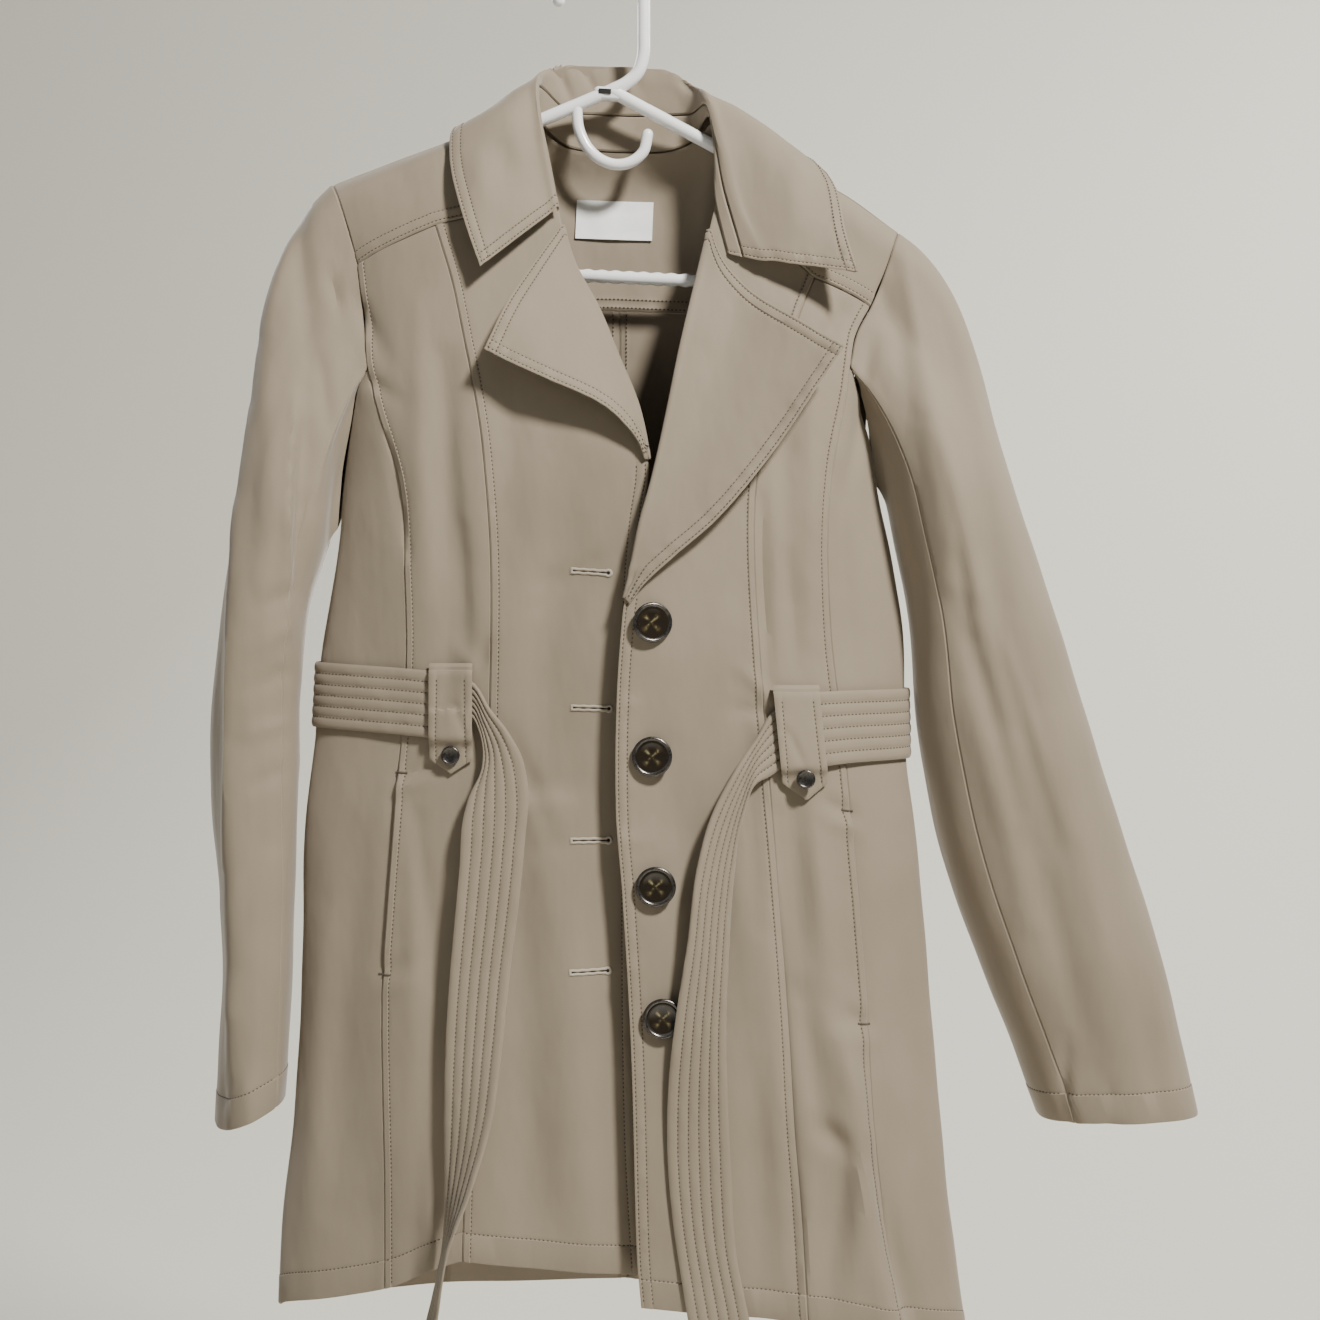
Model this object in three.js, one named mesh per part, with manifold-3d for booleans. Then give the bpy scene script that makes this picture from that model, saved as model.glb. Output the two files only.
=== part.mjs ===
// A single-breasted trench coat, worn open, on a tubular hanger that hangs on a wall hook.
// Millimetres, +Z up, +X to the coat's left side, -Y away from the wall.
// The origin is the centre of the wall hook's back face. "right" and "left" are the wearer's.
import * as THREE from 'three';
import { mergeVertices } from 'three/addons/utils/BufferGeometryUtils.js';
import Module from 'manifold-3d';

const wasm = await Module();
wasm.setup();

// ---------------------------------------------------------------- driving dimensions

const CLOTH = 1.4; // thickness of one bonded layer
const SEAM_GAP = 0.3; // between two pieces along a seam
const LAYER_GAP = 0.4; // between two layers that lie on each other

const BODY_ROWS = 16; // rows of a body panel from yoke seam to hem
const ARMHOLE_ROWS = 5; // of those, rows above the underarm
const BODY_COLUMNS = [4, 3, 4, 4, 4, 4, 4, 4, 3, 4]; // columns between neighbouring body lines
const SLEEVE_CAP_ROWS = 4;
const SLEEVE_ROWS = 8;

const BELT_CHANNELS = 6; // quilted channels across the belt
const BELT_PUFF = 0.9; // height of a channel over its stitch rows
const BELT_STANDOFF = 2.6; // from the coat to the back of the belt

const BUTTON_RADIUS = 14;
const STUD_RADIUS = 6.6;

const TUBE_RADIUS = 4.75; // hanger tube
const HANGER_Y = -45; // plane of the hanger
const HANGER_HUB = { x: 8, z: -97 };
const HANGER_TILT = THREE.MathUtils.degToRad(2.7); // its left end hangs lower
const ARM_SLOPE = THREE.MathUtils.degToRad(25.6);
const HANGER_REACH = 200; // hub to the middle of the end bend
const BAR_DROP = 136; // hub to the bottom bar
const CROOK_RADIUS = 32; // middle of the hanger's own hook
const CROOK_CENTRE_Z = -20;

const PLATE = { width: 34, height: 28, thickness: 4 };
const PRONG_RADIUS = 5;

const COLOUR = {
  cloth: 0xa59b8a, button: 0x2e2417, metal: 0x4a463f, plastic: 0xf2f2ee, steel: 0xb9bbbd,
  label: 0xf4f3ef,
};

// ---------------------------------------------------------------- tables

const table = (columns, ...rows) => {
  const names = columns.split(' ');
  return rows.map((row) => Object.fromEntries(names.map((name, i) => [name, row[i]])));
};

// Value of one column where another column has a given value: a smooth curve through the rows.
function read(rows, by, column, at) {
  const rising = rows[0][by] < rows[rows.length - 1][by];
  const last = rows.length - 1;
  const start = rows[0][by];
  const end = rows[last][by];
  const t = rising ? THREE.MathUtils.clamp(at, start, end) : THREE.MathUtils.clamp(at, end, start);
  let i = 0;
  while (i < last - 1 && (rising ? rows[i + 1][by] < t : rows[i + 1][by] > t)) i += 1;
  const slope = (a, b) => (rows[b][column] - rows[a][column]) / (rows[b][by] - rows[a][by]);
  const tangent = (j) => slope(Math.max(j - 1, 0), Math.min(j + 1, last));
  const span = rows[i + 1][by] - rows[i][by];
  const u = (t - rows[i][by]) / span;
  const [p, q] = [rows[i][column], rows[i + 1][column]];
  const [m, n] = [tangent(i) * span, tangent(i + 1) * span];
  return hermite(p, m, q, n, u);
}

function hermite(p, m, q, n, u) {
  const v = u * u;
  const w = v * u;
  return (2 * w - 3 * v + 1) * p + (w - 2 * v + u) * m + (3 * v - 2 * w) * q + (w - v) * n;
}

// Lines of the body, from the yoke seam or armhole down to the hem.
const BODY_LINES = {
  edgeRight: table('z x y',
    [-180, -31, -58], [-225, -19, -66], [-261, -1, -75], [-296, 13, -84], [-331, 27, -91],
    [-360, 34, -95], [-380, 36, -96], [-417, 31, -96], [-470, 27, -94], [-620, 26, -92],
    [-752, 26, -93], [-857, 28, -94], [-945, 33, -95]),
  seamOneRight: table('z x y',
    [-201, -117, -70], [-243, -104, -79], [-284, -95, -87], [-323, -87, -92], [-362, -81, -95],
    [-443, -75, -95], [-550, -76, -94], [-611, -79, -95], [-716, -83, -98], [-806, -89, -101],
    [-858, -92, -102], [-933, -94, -104]),
  seamTwoRight: table('z x y',
    [-228, -174, -61], [-270, -168.5, -68], [-305, -165, -74], [-346, -154, -79], [-389, -141, -83],
    [-442, -137, -84], [-519, -136, -83], [-595, -142, -84], [-685, -148, -88], [-753, -152, -90],
    [-861, -150, -92], [-956, -150, -93]),
  sideRight: table('z x y',
    [-300, -185, -46], [-380, -188, -48], [-419, -189, -50], [-477, -197, -50], [-513, -202, -50],
    [-568, -205, -50], [-632, -212, -52], [-721, -215, -53], [-781, -217, -55], [-842, -221, -56],
    [-914, -228, -57], [-975, -230, -58]),
  backSeamRight: table('z x y',
    [-250, -174, -29], [-280, -168, -27], [-312, -162, -25], [-360, -132, -22], [-410, -114, -20],
    [-500, -103, -19], [-560, -102, -19], [-700, -108, -18], [-978, -120, -17]),
  centreBack: table('z x y',
    [-253, 14, -17], [-400, 14, -16], [-560, 15, -17], [-975, 20, -15]),
  backSeamLeft: table('z x y',
    [-262, 196, -29], [-290, 190, -27], [-318, 184, -25], [-366, 160, -22], [-410, 143, -20],
    [-500, 133, -19], [-560, 131, -19], [-700, 139, -18], [-988, 156, -17]),
  sideLeft: table('z x y',
    [-290, 192, -46], [-350, 198, -48], [-387, 201, -50], [-440, 212, -50], [-491, 220, -50],
    [-583, 221, -51], [-624, 226, -52], [-695, 233, -53], [-760, 239, -54], [-834, 246, -56],
    [-908, 252, -57], [-1004, 264, -58]),
  seamTwoLeft: table('z x y',
    [-258, 196, -61], [-279, 185, -67], [-304, 180, -73], [-328, 176, -77], [-365, 168, -83],
    [-406, 163, -86], [-446, 162, -87], [-499, 165, -87], [-590, 176, -88], [-700, 185, -91],
    [-770, 190, -93], [-843, 194, -94], [-896, 201, -95], [-988, 214, -96]),
  seamOneLeft: table('z x y',
    [-238, 155, -67], [-270, 142, -76], [-330, 128, -90], [-379, 113, -99], [-408, 110, -102],
    [-447, 110, -103], [-499, 113, -102], [-595, 120, -102], [-639, 124, -104], [-750, 133, -107],
    [-839, 138, -109], [-891, 142, -110], [-975, 147, -112]),
  edgeLeft: table('z x y',
    [-180, 85, -58], [-234, 72.5, -72], [-287, 60, -88], [-338, 50, -100], [-388, 39, -108],
    [-418, 31, -110], [-457, 23, -111], [-473, 19, -111], [-541, 14, -111], [-619, 13.5, -111],
    [-677, 18, -112], [-784, 24, -113], [-925, 28, -114], [-961, 31, -115]),
};
const LINES = Object.values(BODY_LINES);
const LAST_LINE = LINES.length - 1;

// Height on each line of its top, of the level of the underarm row, and of the hem.
const LEVELS = table('top underarm hem',
  [-180, -331, -945], [-201, -323, -933], [-228, -305, -956], [-380, -419, -979], [-250, -312, -978],
  [-253, -330, -975], [-262, -318, -988], [-350, -387, -1004], [-258, -304, -988], [-238, -330, -974],
  [-180, -388, -961]);

// Soft folds of the body: where on the ring (in lines), from and to which height, width in lines,
// and depth, positive towards the inside.
const BODY_FOLDS = table('line lower top bottom width depth',
  [0.55, 0.6, -300, -560, 0.22, 4],
  [1.5, 1.45, -260, -500, 0.2, 3],
  [0.45, 0.35, -560, -940, 0.2, -4],
  [1.45, 1.6, -600, -980, 0.22, 4],
  [2.5, 2.45, -600, -990, 0.2, -4],
  [8.5, 8.1, -720, -1000, 0.24, -8],
  [8.25, 7.8, -800, -1010, 0.16, 7],
  [9.45, 9.3, -560, -980, 0.2, 3],
  [4.5, 4.4, -330, -980, 0.2, 3],
  [5.6, 5.7, -500, -980, 0.2, -3],
  [6.4, 6.5, -330, -980, 0.2, 3]);

// ---------------------------------------------------------------- walls

const vector = (x, y, z) => new THREE.Vector3(x, y, z);

// Unit normals of a grid of points, facing the side from which the rows run down and the columns
// run to the right.
function gridNormals(points) {
  const rows = points.length;
  const columns = points[0].length;
  return points.map((row, i) => row.map((_, j) => {
    const down = vector().subVectors(
      points[Math.min(i + 1, rows - 1)][j], points[Math.max(i - 1, 0)][j]);
    const across = vector().subVectors(
      points[i][Math.min(j + 1, columns - 1)], points[i][Math.max(j - 1, 0)]);
    return down.cross(across).normalize();
  }));
}

// The same grid with every side drawn in by a distance.
function drawIn(points, by) {
  const rows = points.length;
  const columns = points[0].length;
  const result = points.map((row) => row.map((point) => point.clone()));
  const pull = (i, j, k, l) => {
    const step = vector().subVectors(points[k][l], points[i][j]).setLength(by);
    result[i][j].add(step);
  };
  for (let j = 0; j < columns; j += 1) {
    pull(0, j, 1, j);
    pull(rows - 1, j, rows - 2, j);
  }
  for (let i = 0; i < rows; i += 1) {
    pull(i, 0, i, 1);
    pull(i, columns - 1, i, columns - 2);
  }
  return result;
}

// A closed wall: the outer grid, an inner grid behind it, and the four narrow sides.
function wall(outer, normals, thickness = CLOTH, inner = null) {
  const rows = outer.length;
  const columns = outer[0].length;
  const back = inner ?? outer.map((row, i) => row.map(
    (point, j) => point.clone().addScaledVector(normals[i][j], -thickness)));
  const positions = [...outer.flat(), ...back.flat()].flatMap((point) => point.toArray());
  const layer = rows * columns;
  const at = (i, j, side) => side * layer + i * columns + j;
  const indices = [];
  const quad = (a, b, c, d) => indices.push(a, b, c, a, c, d);
  for (let i = 0; i < rows - 1; i += 1) {
    for (let j = 0; j < columns - 1; j += 1) {
      quad(at(i, j, 0), at(i + 1, j, 0), at(i + 1, j + 1, 0), at(i, j + 1, 0));
      quad(at(i, j, 1), at(i, j + 1, 1), at(i + 1, j + 1, 1), at(i + 1, j, 1));
    }
  }
  for (let j = 0; j < columns - 1; j += 1) {
    quad(at(0, j, 0), at(0, j + 1, 0), at(0, j + 1, 1), at(0, j, 1));
    quad(at(rows - 1, j, 1), at(rows - 1, j + 1, 1), at(rows - 1, j + 1, 0), at(rows - 1, j, 0));
  }
  for (let i = 0; i < rows - 1; i += 1) {
    quad(at(i, 0, 1), at(i + 1, 0, 1), at(i + 1, 0, 0), at(i, 0, 0));
    quad(at(i, columns - 1, 0), at(i + 1, columns - 1, 0), at(i + 1, columns - 1, 1),
      at(i, columns - 1, 1));
  }
  const geometry = new THREE.BufferGeometry();
  geometry.setAttribute('position', new THREE.Float32BufferAttribute(positions, 3));
  geometry.setIndex(indices);
  geometry.computeVertexNormals();
  return geometry;
}

// Grid between four border curves, each given as a list of points; top and bottom run across,
// left and right run down, and neighbouring curves share their corners.
function coons(top, bottom, left, right) {
  const rows = left.length - 1;
  const columns = top.length - 1;
  return left.map((start, i) => top.map((above, j) => {
    const v = i / rows;
    const u = j / columns;
    return vector()
      .addScaledVector(above, 1 - v).addScaledVector(bottom[j], v)
      .addScaledVector(start, 1 - u).addScaledVector(right[i], u)
      .addScaledVector(top[0], -(1 - u) * (1 - v)).addScaledVector(top[columns], -u * (1 - v))
      .addScaledVector(bottom[0], -(1 - u) * v).addScaledVector(bottom[columns], -u * v);
  }));
}

// Evenly spaced points on a smooth curve through a table's rows.
function curvePoints(rows, count) {
  const curve = new THREE.CatmullRomCurve3(rows.map((row) => vector(row.x, row.y, row.z)),
    false, 'centripetal');
  return curve.getSpacedPoints(count);
}

// ---------------------------------------------------------------- body

const bell = (distance, width) => Math.exp(-((distance / width) ** 2));

function foldDepth(line, z) {
  return BODY_FOLDS.reduce((sum, fold) => {
    const down = (fold.top - z) / (fold.top - fold.bottom);
    if (down <= 0 || down >= 1.2) return sum;
    const centre = THREE.MathUtils.lerp(fold.line, fold.lower, down);
    const fade = Math.sin(Math.min(down, 0.75) / 0.75 * Math.PI / 2) ** 2;
    return sum + fold.depth * fade * bell(line - centre, fold.width);
  }, 0);
}

// Point of the body's outside: line 0 is the right front edge, 5 the centre back, 10 the left edge.
function bodyPoint(line, z) {
  const i = Math.min(Math.floor(line), LAST_LINE - 1);
  const along = line - i;
  const point = (j) => {
    const rows = LINES[THREE.MathUtils.clamp(j, 0, LAST_LINE)];
    return vector(read(rows, 'z', 'x', z), read(rows, 'z', 'y', z), z);
  };
  const [before, start, end, after] = [point(i - 1), point(i), point(i + 1), point(i + 2)];
  const startSpan = i === 0 ? 1 : 2;
  const endSpan = i + 1 === LAST_LINE ? 1 : 2;
  const smooth = (axis, u) => hermite(start[axis], (end[axis] - before[axis]) / startSpan,
    end[axis], (after[axis] - start[axis]) / endSpan, u);
  const slope = (axis) => smooth(axis, along + 0.01) - smooth(axis, along - 0.01);
  const inward = vector(slope('y'), -slope('x'), 0).normalize();
  return vector(smooth('x', along), smooth('y', along), z)
    .addScaledVector(inward, foldDepth(line, z));
}

function bodyNormal(line, z) {
  const step = 0.04;
  const across = vector().subVectors(
    bodyPoint(Math.min(line + step, LAST_LINE), z), bodyPoint(Math.max(line - step, 0), z));
  const down = vector().subVectors(bodyPoint(line, z - 2), bodyPoint(line, z + 2));
  return across.cross(down).normalize();
}

// Heights of a panel's rows at a place on the ring.
const ARMHOLE_CURVE = 1.6; // how the armhole drops towards the underarm
const UNDERARM = { right: 3, left: 7 };

function levelAt(name, line) {
  const i = Math.min(Math.floor(line), LAST_LINE - 1);
  const along = line - i;
  const [start, end] = [LEVELS[i][name], LEVELS[i + 1][name]];
  if (name !== 'underarm') return THREE.MathUtils.lerp(start, end, along);
  if (i + 1 === UNDERARM.right || i + 1 === UNDERARM.left) {
    return start + (end - start) * along ** ARMHOLE_CURVE;
  }
  if (i === UNDERARM.right || i === UNDERARM.left) {
    return end + (start - end) * (1 - along) ** ARMHOLE_CURVE;
  }
  return THREE.MathUtils.lerp(start, end, along);
}

function rowHeight(line, row) {
  const underarm = levelAt('underarm', line);
  if (row <= ARMHOLE_ROWS) {
    return THREE.MathUtils.lerp(levelAt('top', line), underarm, row / ARMHOLE_ROWS);
  }
  const down = (row - ARMHOLE_ROWS) / (BODY_ROWS - ARMHOLE_ROWS);
  return THREE.MathUtils.lerp(underarm, levelAt('hem', line), down);
}

// Places on the ring between two body lines, in rising order.
function ringPlaces(from, to) {
  const places = [from];
  for (let i = from; i < to; i += 1) {
    for (let j = 1; j <= BODY_COLUMNS[i]; j += 1) places.push(i + j / BODY_COLUMNS[i]);
  }
  return places;
}

function bodyPanel(from, to, firstRow) {
  const rows = [];
  for (let row = firstRow; row <= BODY_ROWS; row += 1) rows.push(row);
  const places = ringPlaces(from, to).reverse();
  const grid = rows.map((row) => places.map((line) => bodyPoint(line, rowHeight(line, row))));
  const normals = rows.map((row) => places.map((line) => bodyNormal(line, rowHeight(line, row))));
  return wall(drawIn(grid, SEAM_GAP / 2), normals);
}

// ---------------------------------------------------------------- yokes

// Shoulder seams, from the neck out to the sleeve.
const RIDGE_RIGHT = table('x y z',
  [-49, -46, -106], [-75, -45, -118], [-111, -45, -134], [-144, -45, -146], [-195.5, -45, -166]);
const RIDGE_LEFT = table('x y z',
  [82, -46, -121], [117, -45, -142], [150, -45, -158], [176, -45, -170.5], [218.5, -45, -200.5]);
// Back neck seam, from the right neck point to the left.
const BACK_NECK = table('x y z',
  [-49, -46, -106], [-45, -33, -118], [-24, -28, -134], [0, -26, -136.5], [26, -26, -137.5],
  [50, -28, -137], [67, -32, -132], [82, -46, -121]);
const FRONT_NECK_RIGHT = table('x y z',
  [-49, -46, -106], [-47, -56, -116], [-42, -58, -140], [-31, -58, -180]);
const FRONT_NECK_LEFT = table('x y z',
  [82, -46, -121], [83, -56, -131], [85, -57, -150], [85, -58, -180]);
const FRONT_ARMHOLE_RIGHT = table('x y z',
  [-195.5, -45, -166], [-190, -57, -176], [-182, -60, -200], [-174, -61, -228]);
const FRONT_ARMHOLE_LEFT = table('x y z',
  [218.5, -45, -200.5], [214, -56, -211], [206, -60, -234], [196, -61, -258]);
const BACK_ARMHOLE_RIGHT = table('x y z',
  [-195.5, -45, -166], [-190, -33, -177], [-181, -30, -208], [-174, -29, -250]);
const BACK_ARMHOLE_LEFT = table('x y z',
  [218.5, -45, -200.5], [213, -33, -211], [203, -30, -234], [196, -29, -262]);

const YOKE_ROWS = 4;
const NECK_COLUMNS = 6;
const RIDGE_COLUMNS = 7;

const yokeSeam = (from, to) => ringPlaces(from, to).map(
  (line) => bodyPoint(line, levelAt('top', line)));

function ridgeNormal(along) {
  return vector(along.z, 0, -along.x).normalize();
}

// A yoke's wall takes the normals of its neighbours along the shoulder and along the yoke seam.
function yokeWall(grid, topNormal, bottomNormals) {
  const normals = gridNormals(grid);
  grid[0].forEach((_, j) => {
    const shared = topNormal(j);
    if (shared) normals[0][j] = shared;
  });
  if (bottomNormals) normals[normals.length - 1] = bottomNormals;
  return wall(drawIn(grid, SEAM_GAP / 2), normals);
}

const seamNormals = (from, to) => ringPlaces(from, to).map(
  (line) => bodyNormal(line, levelAt('top', line)));

function frontYokeRight() {
  const top = curvePoints(RIDGE_RIGHT, RIDGE_COLUMNS).reverse();
  const bottom = yokeSeam(0, 2).reverse();
  const grid = coons(top, bottom, curvePoints(FRONT_ARMHOLE_RIGHT, YOKE_ROWS),
    curvePoints(FRONT_NECK_RIGHT, YOKE_ROWS));
  const shoulder = ridgeNormal(vector(1, 0, 0.36)).multiplyScalar(-1);
  return yokeWall(grid, () => shoulder, seamNormals(0, 2).reverse());
}

function frontYokeLeft() {
  const top = curvePoints(RIDGE_LEFT, RIDGE_COLUMNS);
  const bottom = yokeSeam(8, 10).reverse();
  const grid = coons(top, bottom, curvePoints(FRONT_NECK_LEFT, YOKE_ROWS),
    curvePoints(FRONT_ARMHOLE_LEFT, YOKE_ROWS));
  const shoulder = ridgeNormal(vector(1, 0, -0.52)).multiplyScalar(-1);
  return yokeWall(grid, () => shoulder, seamNormals(8, 10).reverse());
}

function backYoke() {
  const left = curvePoints(RIDGE_LEFT, RIDGE_COLUMNS).reverse();
  const neck = curvePoints(BACK_NECK, NECK_COLUMNS).reverse().slice(1, -1);
  const right = curvePoints(RIDGE_RIGHT, RIDGE_COLUMNS);
  const top = [...left, ...neck, ...right];
  const count = top.length - 1;
  const bottom = top.map((_, j) => {
    const line = 6 - 2 * j / count;
    return bodyPoint(line, levelAt('top', line));
  });
  const grid = coons(top, bottom, curvePoints(BACK_ARMHOLE_LEFT, YOKE_ROWS),
    curvePoints(BACK_ARMHOLE_RIGHT, YOKE_ROWS));
  const shoulders = [
    ridgeNormal(vector(1, 0, -0.52)).multiplyScalar(-1),
    ridgeNormal(vector(1, 0, 0.36)).multiplyScalar(-1)];
  const topNormal = (j) => {
    if (j <= RIDGE_COLUMNS) return shoulders[0];
    return j >= count - RIDGE_COLUMNS ? shoulders[1] : null;
  };
  const bottomNormals = bottom.map((_, j) => {
    const line = 6 - 2 * j / count;
    return bodyNormal(line, levelAt('top', line));
  });
  return yokeWall(grid, topNormal, bottomNormals);
}

// ---------------------------------------------------------------- lapels

const LAPEL_COLUMNS = 6;
const LAPEL_ROWS = 10;

// Top edge from the roll out to the tip, then the outer edge down to where the roll ends.
const LAPEL_RIGHT = {
  from: -199, to: -372, line: 0, tuck: 1,
  top: table('x y z', [-27, -62.5, -199], [-45, -80, -229], [-64, -98, -263], [-78, -112, -297]),
  outer: table('x y z', [-78, -112, -297], [-48, -116, -312], [-26, -116, -322], [-9, -114, -329],
    [3, -112, -335], [20, -107, -349], [30, -102, -362], [33.5, -99.5, -372]),
};
const LAPEL_LEFT = {
  from: -203, to: -470, line: 10, tuck: -1,
  top: table('x y z', [80, -66, -203], [89, -70, -226], [103, -76, -244], [145, -98, -276],
    [172, -112, -295]),
  outer: table('x y z', [172, -112, -295], [149, -114, -330], [114, -117, -380], [81, -118, -418],
    [52, -117, -443], [31, -115, -463], [23, -113.6, -474]),
};

function lapel(shape) {
  const lift = CLOTH + LAYER_GAP;
  const roll = [];
  for (let i = 0; i <= LAPEL_ROWS; i += 1) {
    const z = THREE.MathUtils.lerp(shape.from, shape.to, i / LAPEL_ROWS);
    roll.push(bodyPoint(shape.line, z).add(vector(0, -lift, 0)));
  }
  const top = curvePoints(shape.top, LAPEL_COLUMNS);
  top[0].copy(roll[0]);
  const outer = curvePoints(shape.outer, LAPEL_ROWS);
  const bottom = top.map((_, j) => vector().lerpVectors(
    roll[LAPEL_ROWS], outer[LAPEL_ROWS], j / LAPEL_COLUMNS));
  const grid = coons(top, bottom, roll, outer);
  const near = shape.tuck > 0 ? 0.8 : 9.2;
  grid.forEach((row) => row.forEach((point) => {
    point.y = Math.min(point.y, nearestBodyY(near, point.x, point.z) - lift);
  }));
  if (shape.tuck > 0) grid.forEach((row) => row.reverse());
  return wall(grid, gridNormals(grid));
}

// ---------------------------------------------------------------- collar

// Around the neck from the right front to the left: neck seam, fold line and outer edge.
const COLLAR = table('neckX neckY neckZ foldX foldY foldZ edgeX edgeY edgeZ stand arch',
  [-29, -64, -191, -28, -67, -188, -82.6, -94, -236, 1, 0],
  [-33, -61, -170, -32, -66, -168, -96, -86, -197, 1.5, 3],
  [-38, -60, -148, -36.5, -65.5, -145, -106, -72, -159, 2, 6],
  [-43, -58, -127, -41, -64, -122, -107, -56, -129, 3.5, 7],
  [-46, -50, -104, -43.5, -55.5, -96.5, -100, -34, -128, 5, 8],
  [-44, -33, -116, -40, -35, -80, -74, -15, -142, 24, 7],
  [-24, -28, -133, -24, -26, -73, -32, -10, -148, 27, 3],
  [0, -25, -135.5, 0, -21, -72, 2, -9, -150, 28, 2],
  [26, -25, -136.5, 26, -20, -72.5, 30, -9, -150, 28, 2],
  [50, -28, -136, 50, -24, -77, 72, -10, -150, 27, 3],
  [67, -32, -130, 65, -33, -90, 112, -15, -150, 20, 6],
  [79, -50, -118, 76, -54, -106, 152, -36, -147, 8, 8],
  [82, -59, -148, 85, -63, -138, 170, -62, -170, 7, 6],
  [83, -63, -182, 95, -68, -176, 176, -84, -210, 9, 4],
  [92, -72, -222, 117, -79, -229, 183, -96, -240, 12, 0]);

const STATION = COLLAR.map((row, station) => ({ ...row, station }));
const COLLAR_STATIONS = 22;
const FOLD_RADIUS = 4.4;

function collarRow(s) {
  const value = (column) => read(STATION, 'station', column, s);
  const neck = vector(value('neckX'), value('neckY'), value('neckZ'));
  const fold = vector(value('foldX'), value('foldY'), value('foldZ'));
  const edge = vector(value('edgeX'), value('edgeY'), value('edgeZ'));
  const up = vector().subVectors(fold, neck).normalize();
  const seam = neck.clone().addScaledVector(up, value('stand'));
  return { neck, fold, edge, up, seam, arch: value('arch') };
}

// The leaf rises from the stand, turns over the fold and falls to its outer edge.
function leafProfile(s) {
  const { fold, edge, up, seam, arch } = collarRow(s);
  const out = vector().subVectors(edge, fold);
  out.normalize();
  const over = out.clone().addScaledVector(up, -out.dot(up)).normalize();
  const fall = (share, lift) => vector().lerpVectors(fold, edge, share).addScaledVector(up, lift)
    .addScaledVector(over, FOLD_RADIUS * (1 - share));
  const low = seam.clone().addScaledVector(up, SEAM_GAP);
  return [
    low,
    vector().lerpVectors(low, fold, 0.5),
    vector().lerpVectors(low, fold, 0.85),
    fold.clone().addScaledVector(over, FOLD_RADIUS * 0.5).addScaledVector(up, FOLD_RADIUS * 0.4),
    fall(0.06, arch * 0.2),
    fall(0.3, arch * 0.9),
    fall(0.55, arch),
    fall(0.78, arch * 0.6),
    edge,
  ];
}

function collarGrid(profile, from) {
  const rows = [];
  for (let i = from; i <= COLLAR_STATIONS; i += 1) {
    rows.push(profile((COLLAR.length - 1) * i / COLLAR_STATIONS));
  }
  return rows;
}

function collarLeaf() {
  const grid = collarGrid(leafProfile, 0);
  return wall(grid, gridNormals(grid));
}

function standProfile(s) {
  const { neck, seam, up } = collarRow(s);
  const foot = neck.clone().addScaledVector(up, SEAM_GAP * 2);
  const top = seam.clone().addScaledVector(up, -SEAM_GAP * 2);
  return [0, 0.5, 1].map((share) => vector().lerpVectors(foot, top, share));
}

const STAND_START = 5; // first collar station with a stand of its own

// The stand shares the leaf's normals along the seam between them.
function collarStand() {
  const grid = collarGrid(standProfile, STAND_START);
  const normals = gridNormals(grid);
  const leaf = gridNormals(collarGrid(leafProfile, STAND_START));
  normals.forEach((row, i) => { row[row.length - 1] = leaf[i][0]; });
  return wall(grid, normals);
}

// ---------------------------------------------------------------- sleeves

// Rings from the armpit to the cuff: outer and inner side, front and back, and how far the front
// leans towards the body.
const SLEEVE_RIGHT = table('outerX outerZ innerX innerZ front back lean',
  [-257, -400, -199, -436, -110, -14, 5],
  [-272, -470, -212, -480, -109, -14, 8],
  [-281, -542, -218, -546, -107, -16, 11],
  [-281, -615, -221, -618, -105, -18, 12],
  [-274, -688, -222, -690, -103, -20, 11],
  [-272, -745, -223, -746, -102, -22, 10],
  [-274, -800, -226, -792, -101, -24, 11],
  [-276, -847, -229, -826, -100, -26, 12]);
const SLEEVE_LEFT = table('outerX outerZ innerX innerZ front back lean',
  [295, -382, 211, -408, -106, -14, 0],
  [323, -469, 226, -488, -104, -15, 0],
  [346, -542, 232, -560, -102, -17, 0],
  [375, -633, 249, -650, -100, -20, 0],
  [400, -714, 275, -728, -97, -24, 0],
  [417, -781, 301, -792, -94, -28, 0],
  [430.5, -838, 320, -843, -92, -32, 0]);
const SLEEVE_SQUARENESS = 2.6;
const ARMPIT_Y = -50; // the inner side of the sleeve hangs straight below the armpit

// The armhole, from the shoulder down the front, under the arm and up the back.
function armhole(side) {
  const right = side === 'right';
  const [front, back] = right ? [2, 4] : [8, 6];
  const frontYoke = curvePoints(right ? FRONT_ARMHOLE_RIGHT : FRONT_ARMHOLE_LEFT, YOKE_ROWS);
  const backYokeSide = curvePoints(right ? BACK_ARMHOLE_RIGHT : BACK_ARMHOLE_LEFT, YOKE_ROWS);
  const rows = [...Array(ARMHOLE_ROWS + 1).keys()];
  const down = rows.slice(1).map((row) => bodyPoint(front, rowHeight(front, row)));
  const up = rows.slice(0, -1).reverse().map((row) => bodyPoint(back, rowHeight(back, row)));
  const places = right ? ringPlaces(2, 4) : ringPlaces(6, 8).reverse();
  const under = places.slice(1).map((line) => bodyPoint(line, levelAt('underarm', line)));
  return [...frontYoke, ...down, ...under, ...up, ...backYokeSide.reverse().slice(1, -1)];
}

const power = (value) => Math.sign(value) * Math.abs(value) ** (2 / SLEEVE_SQUARENESS);

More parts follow.
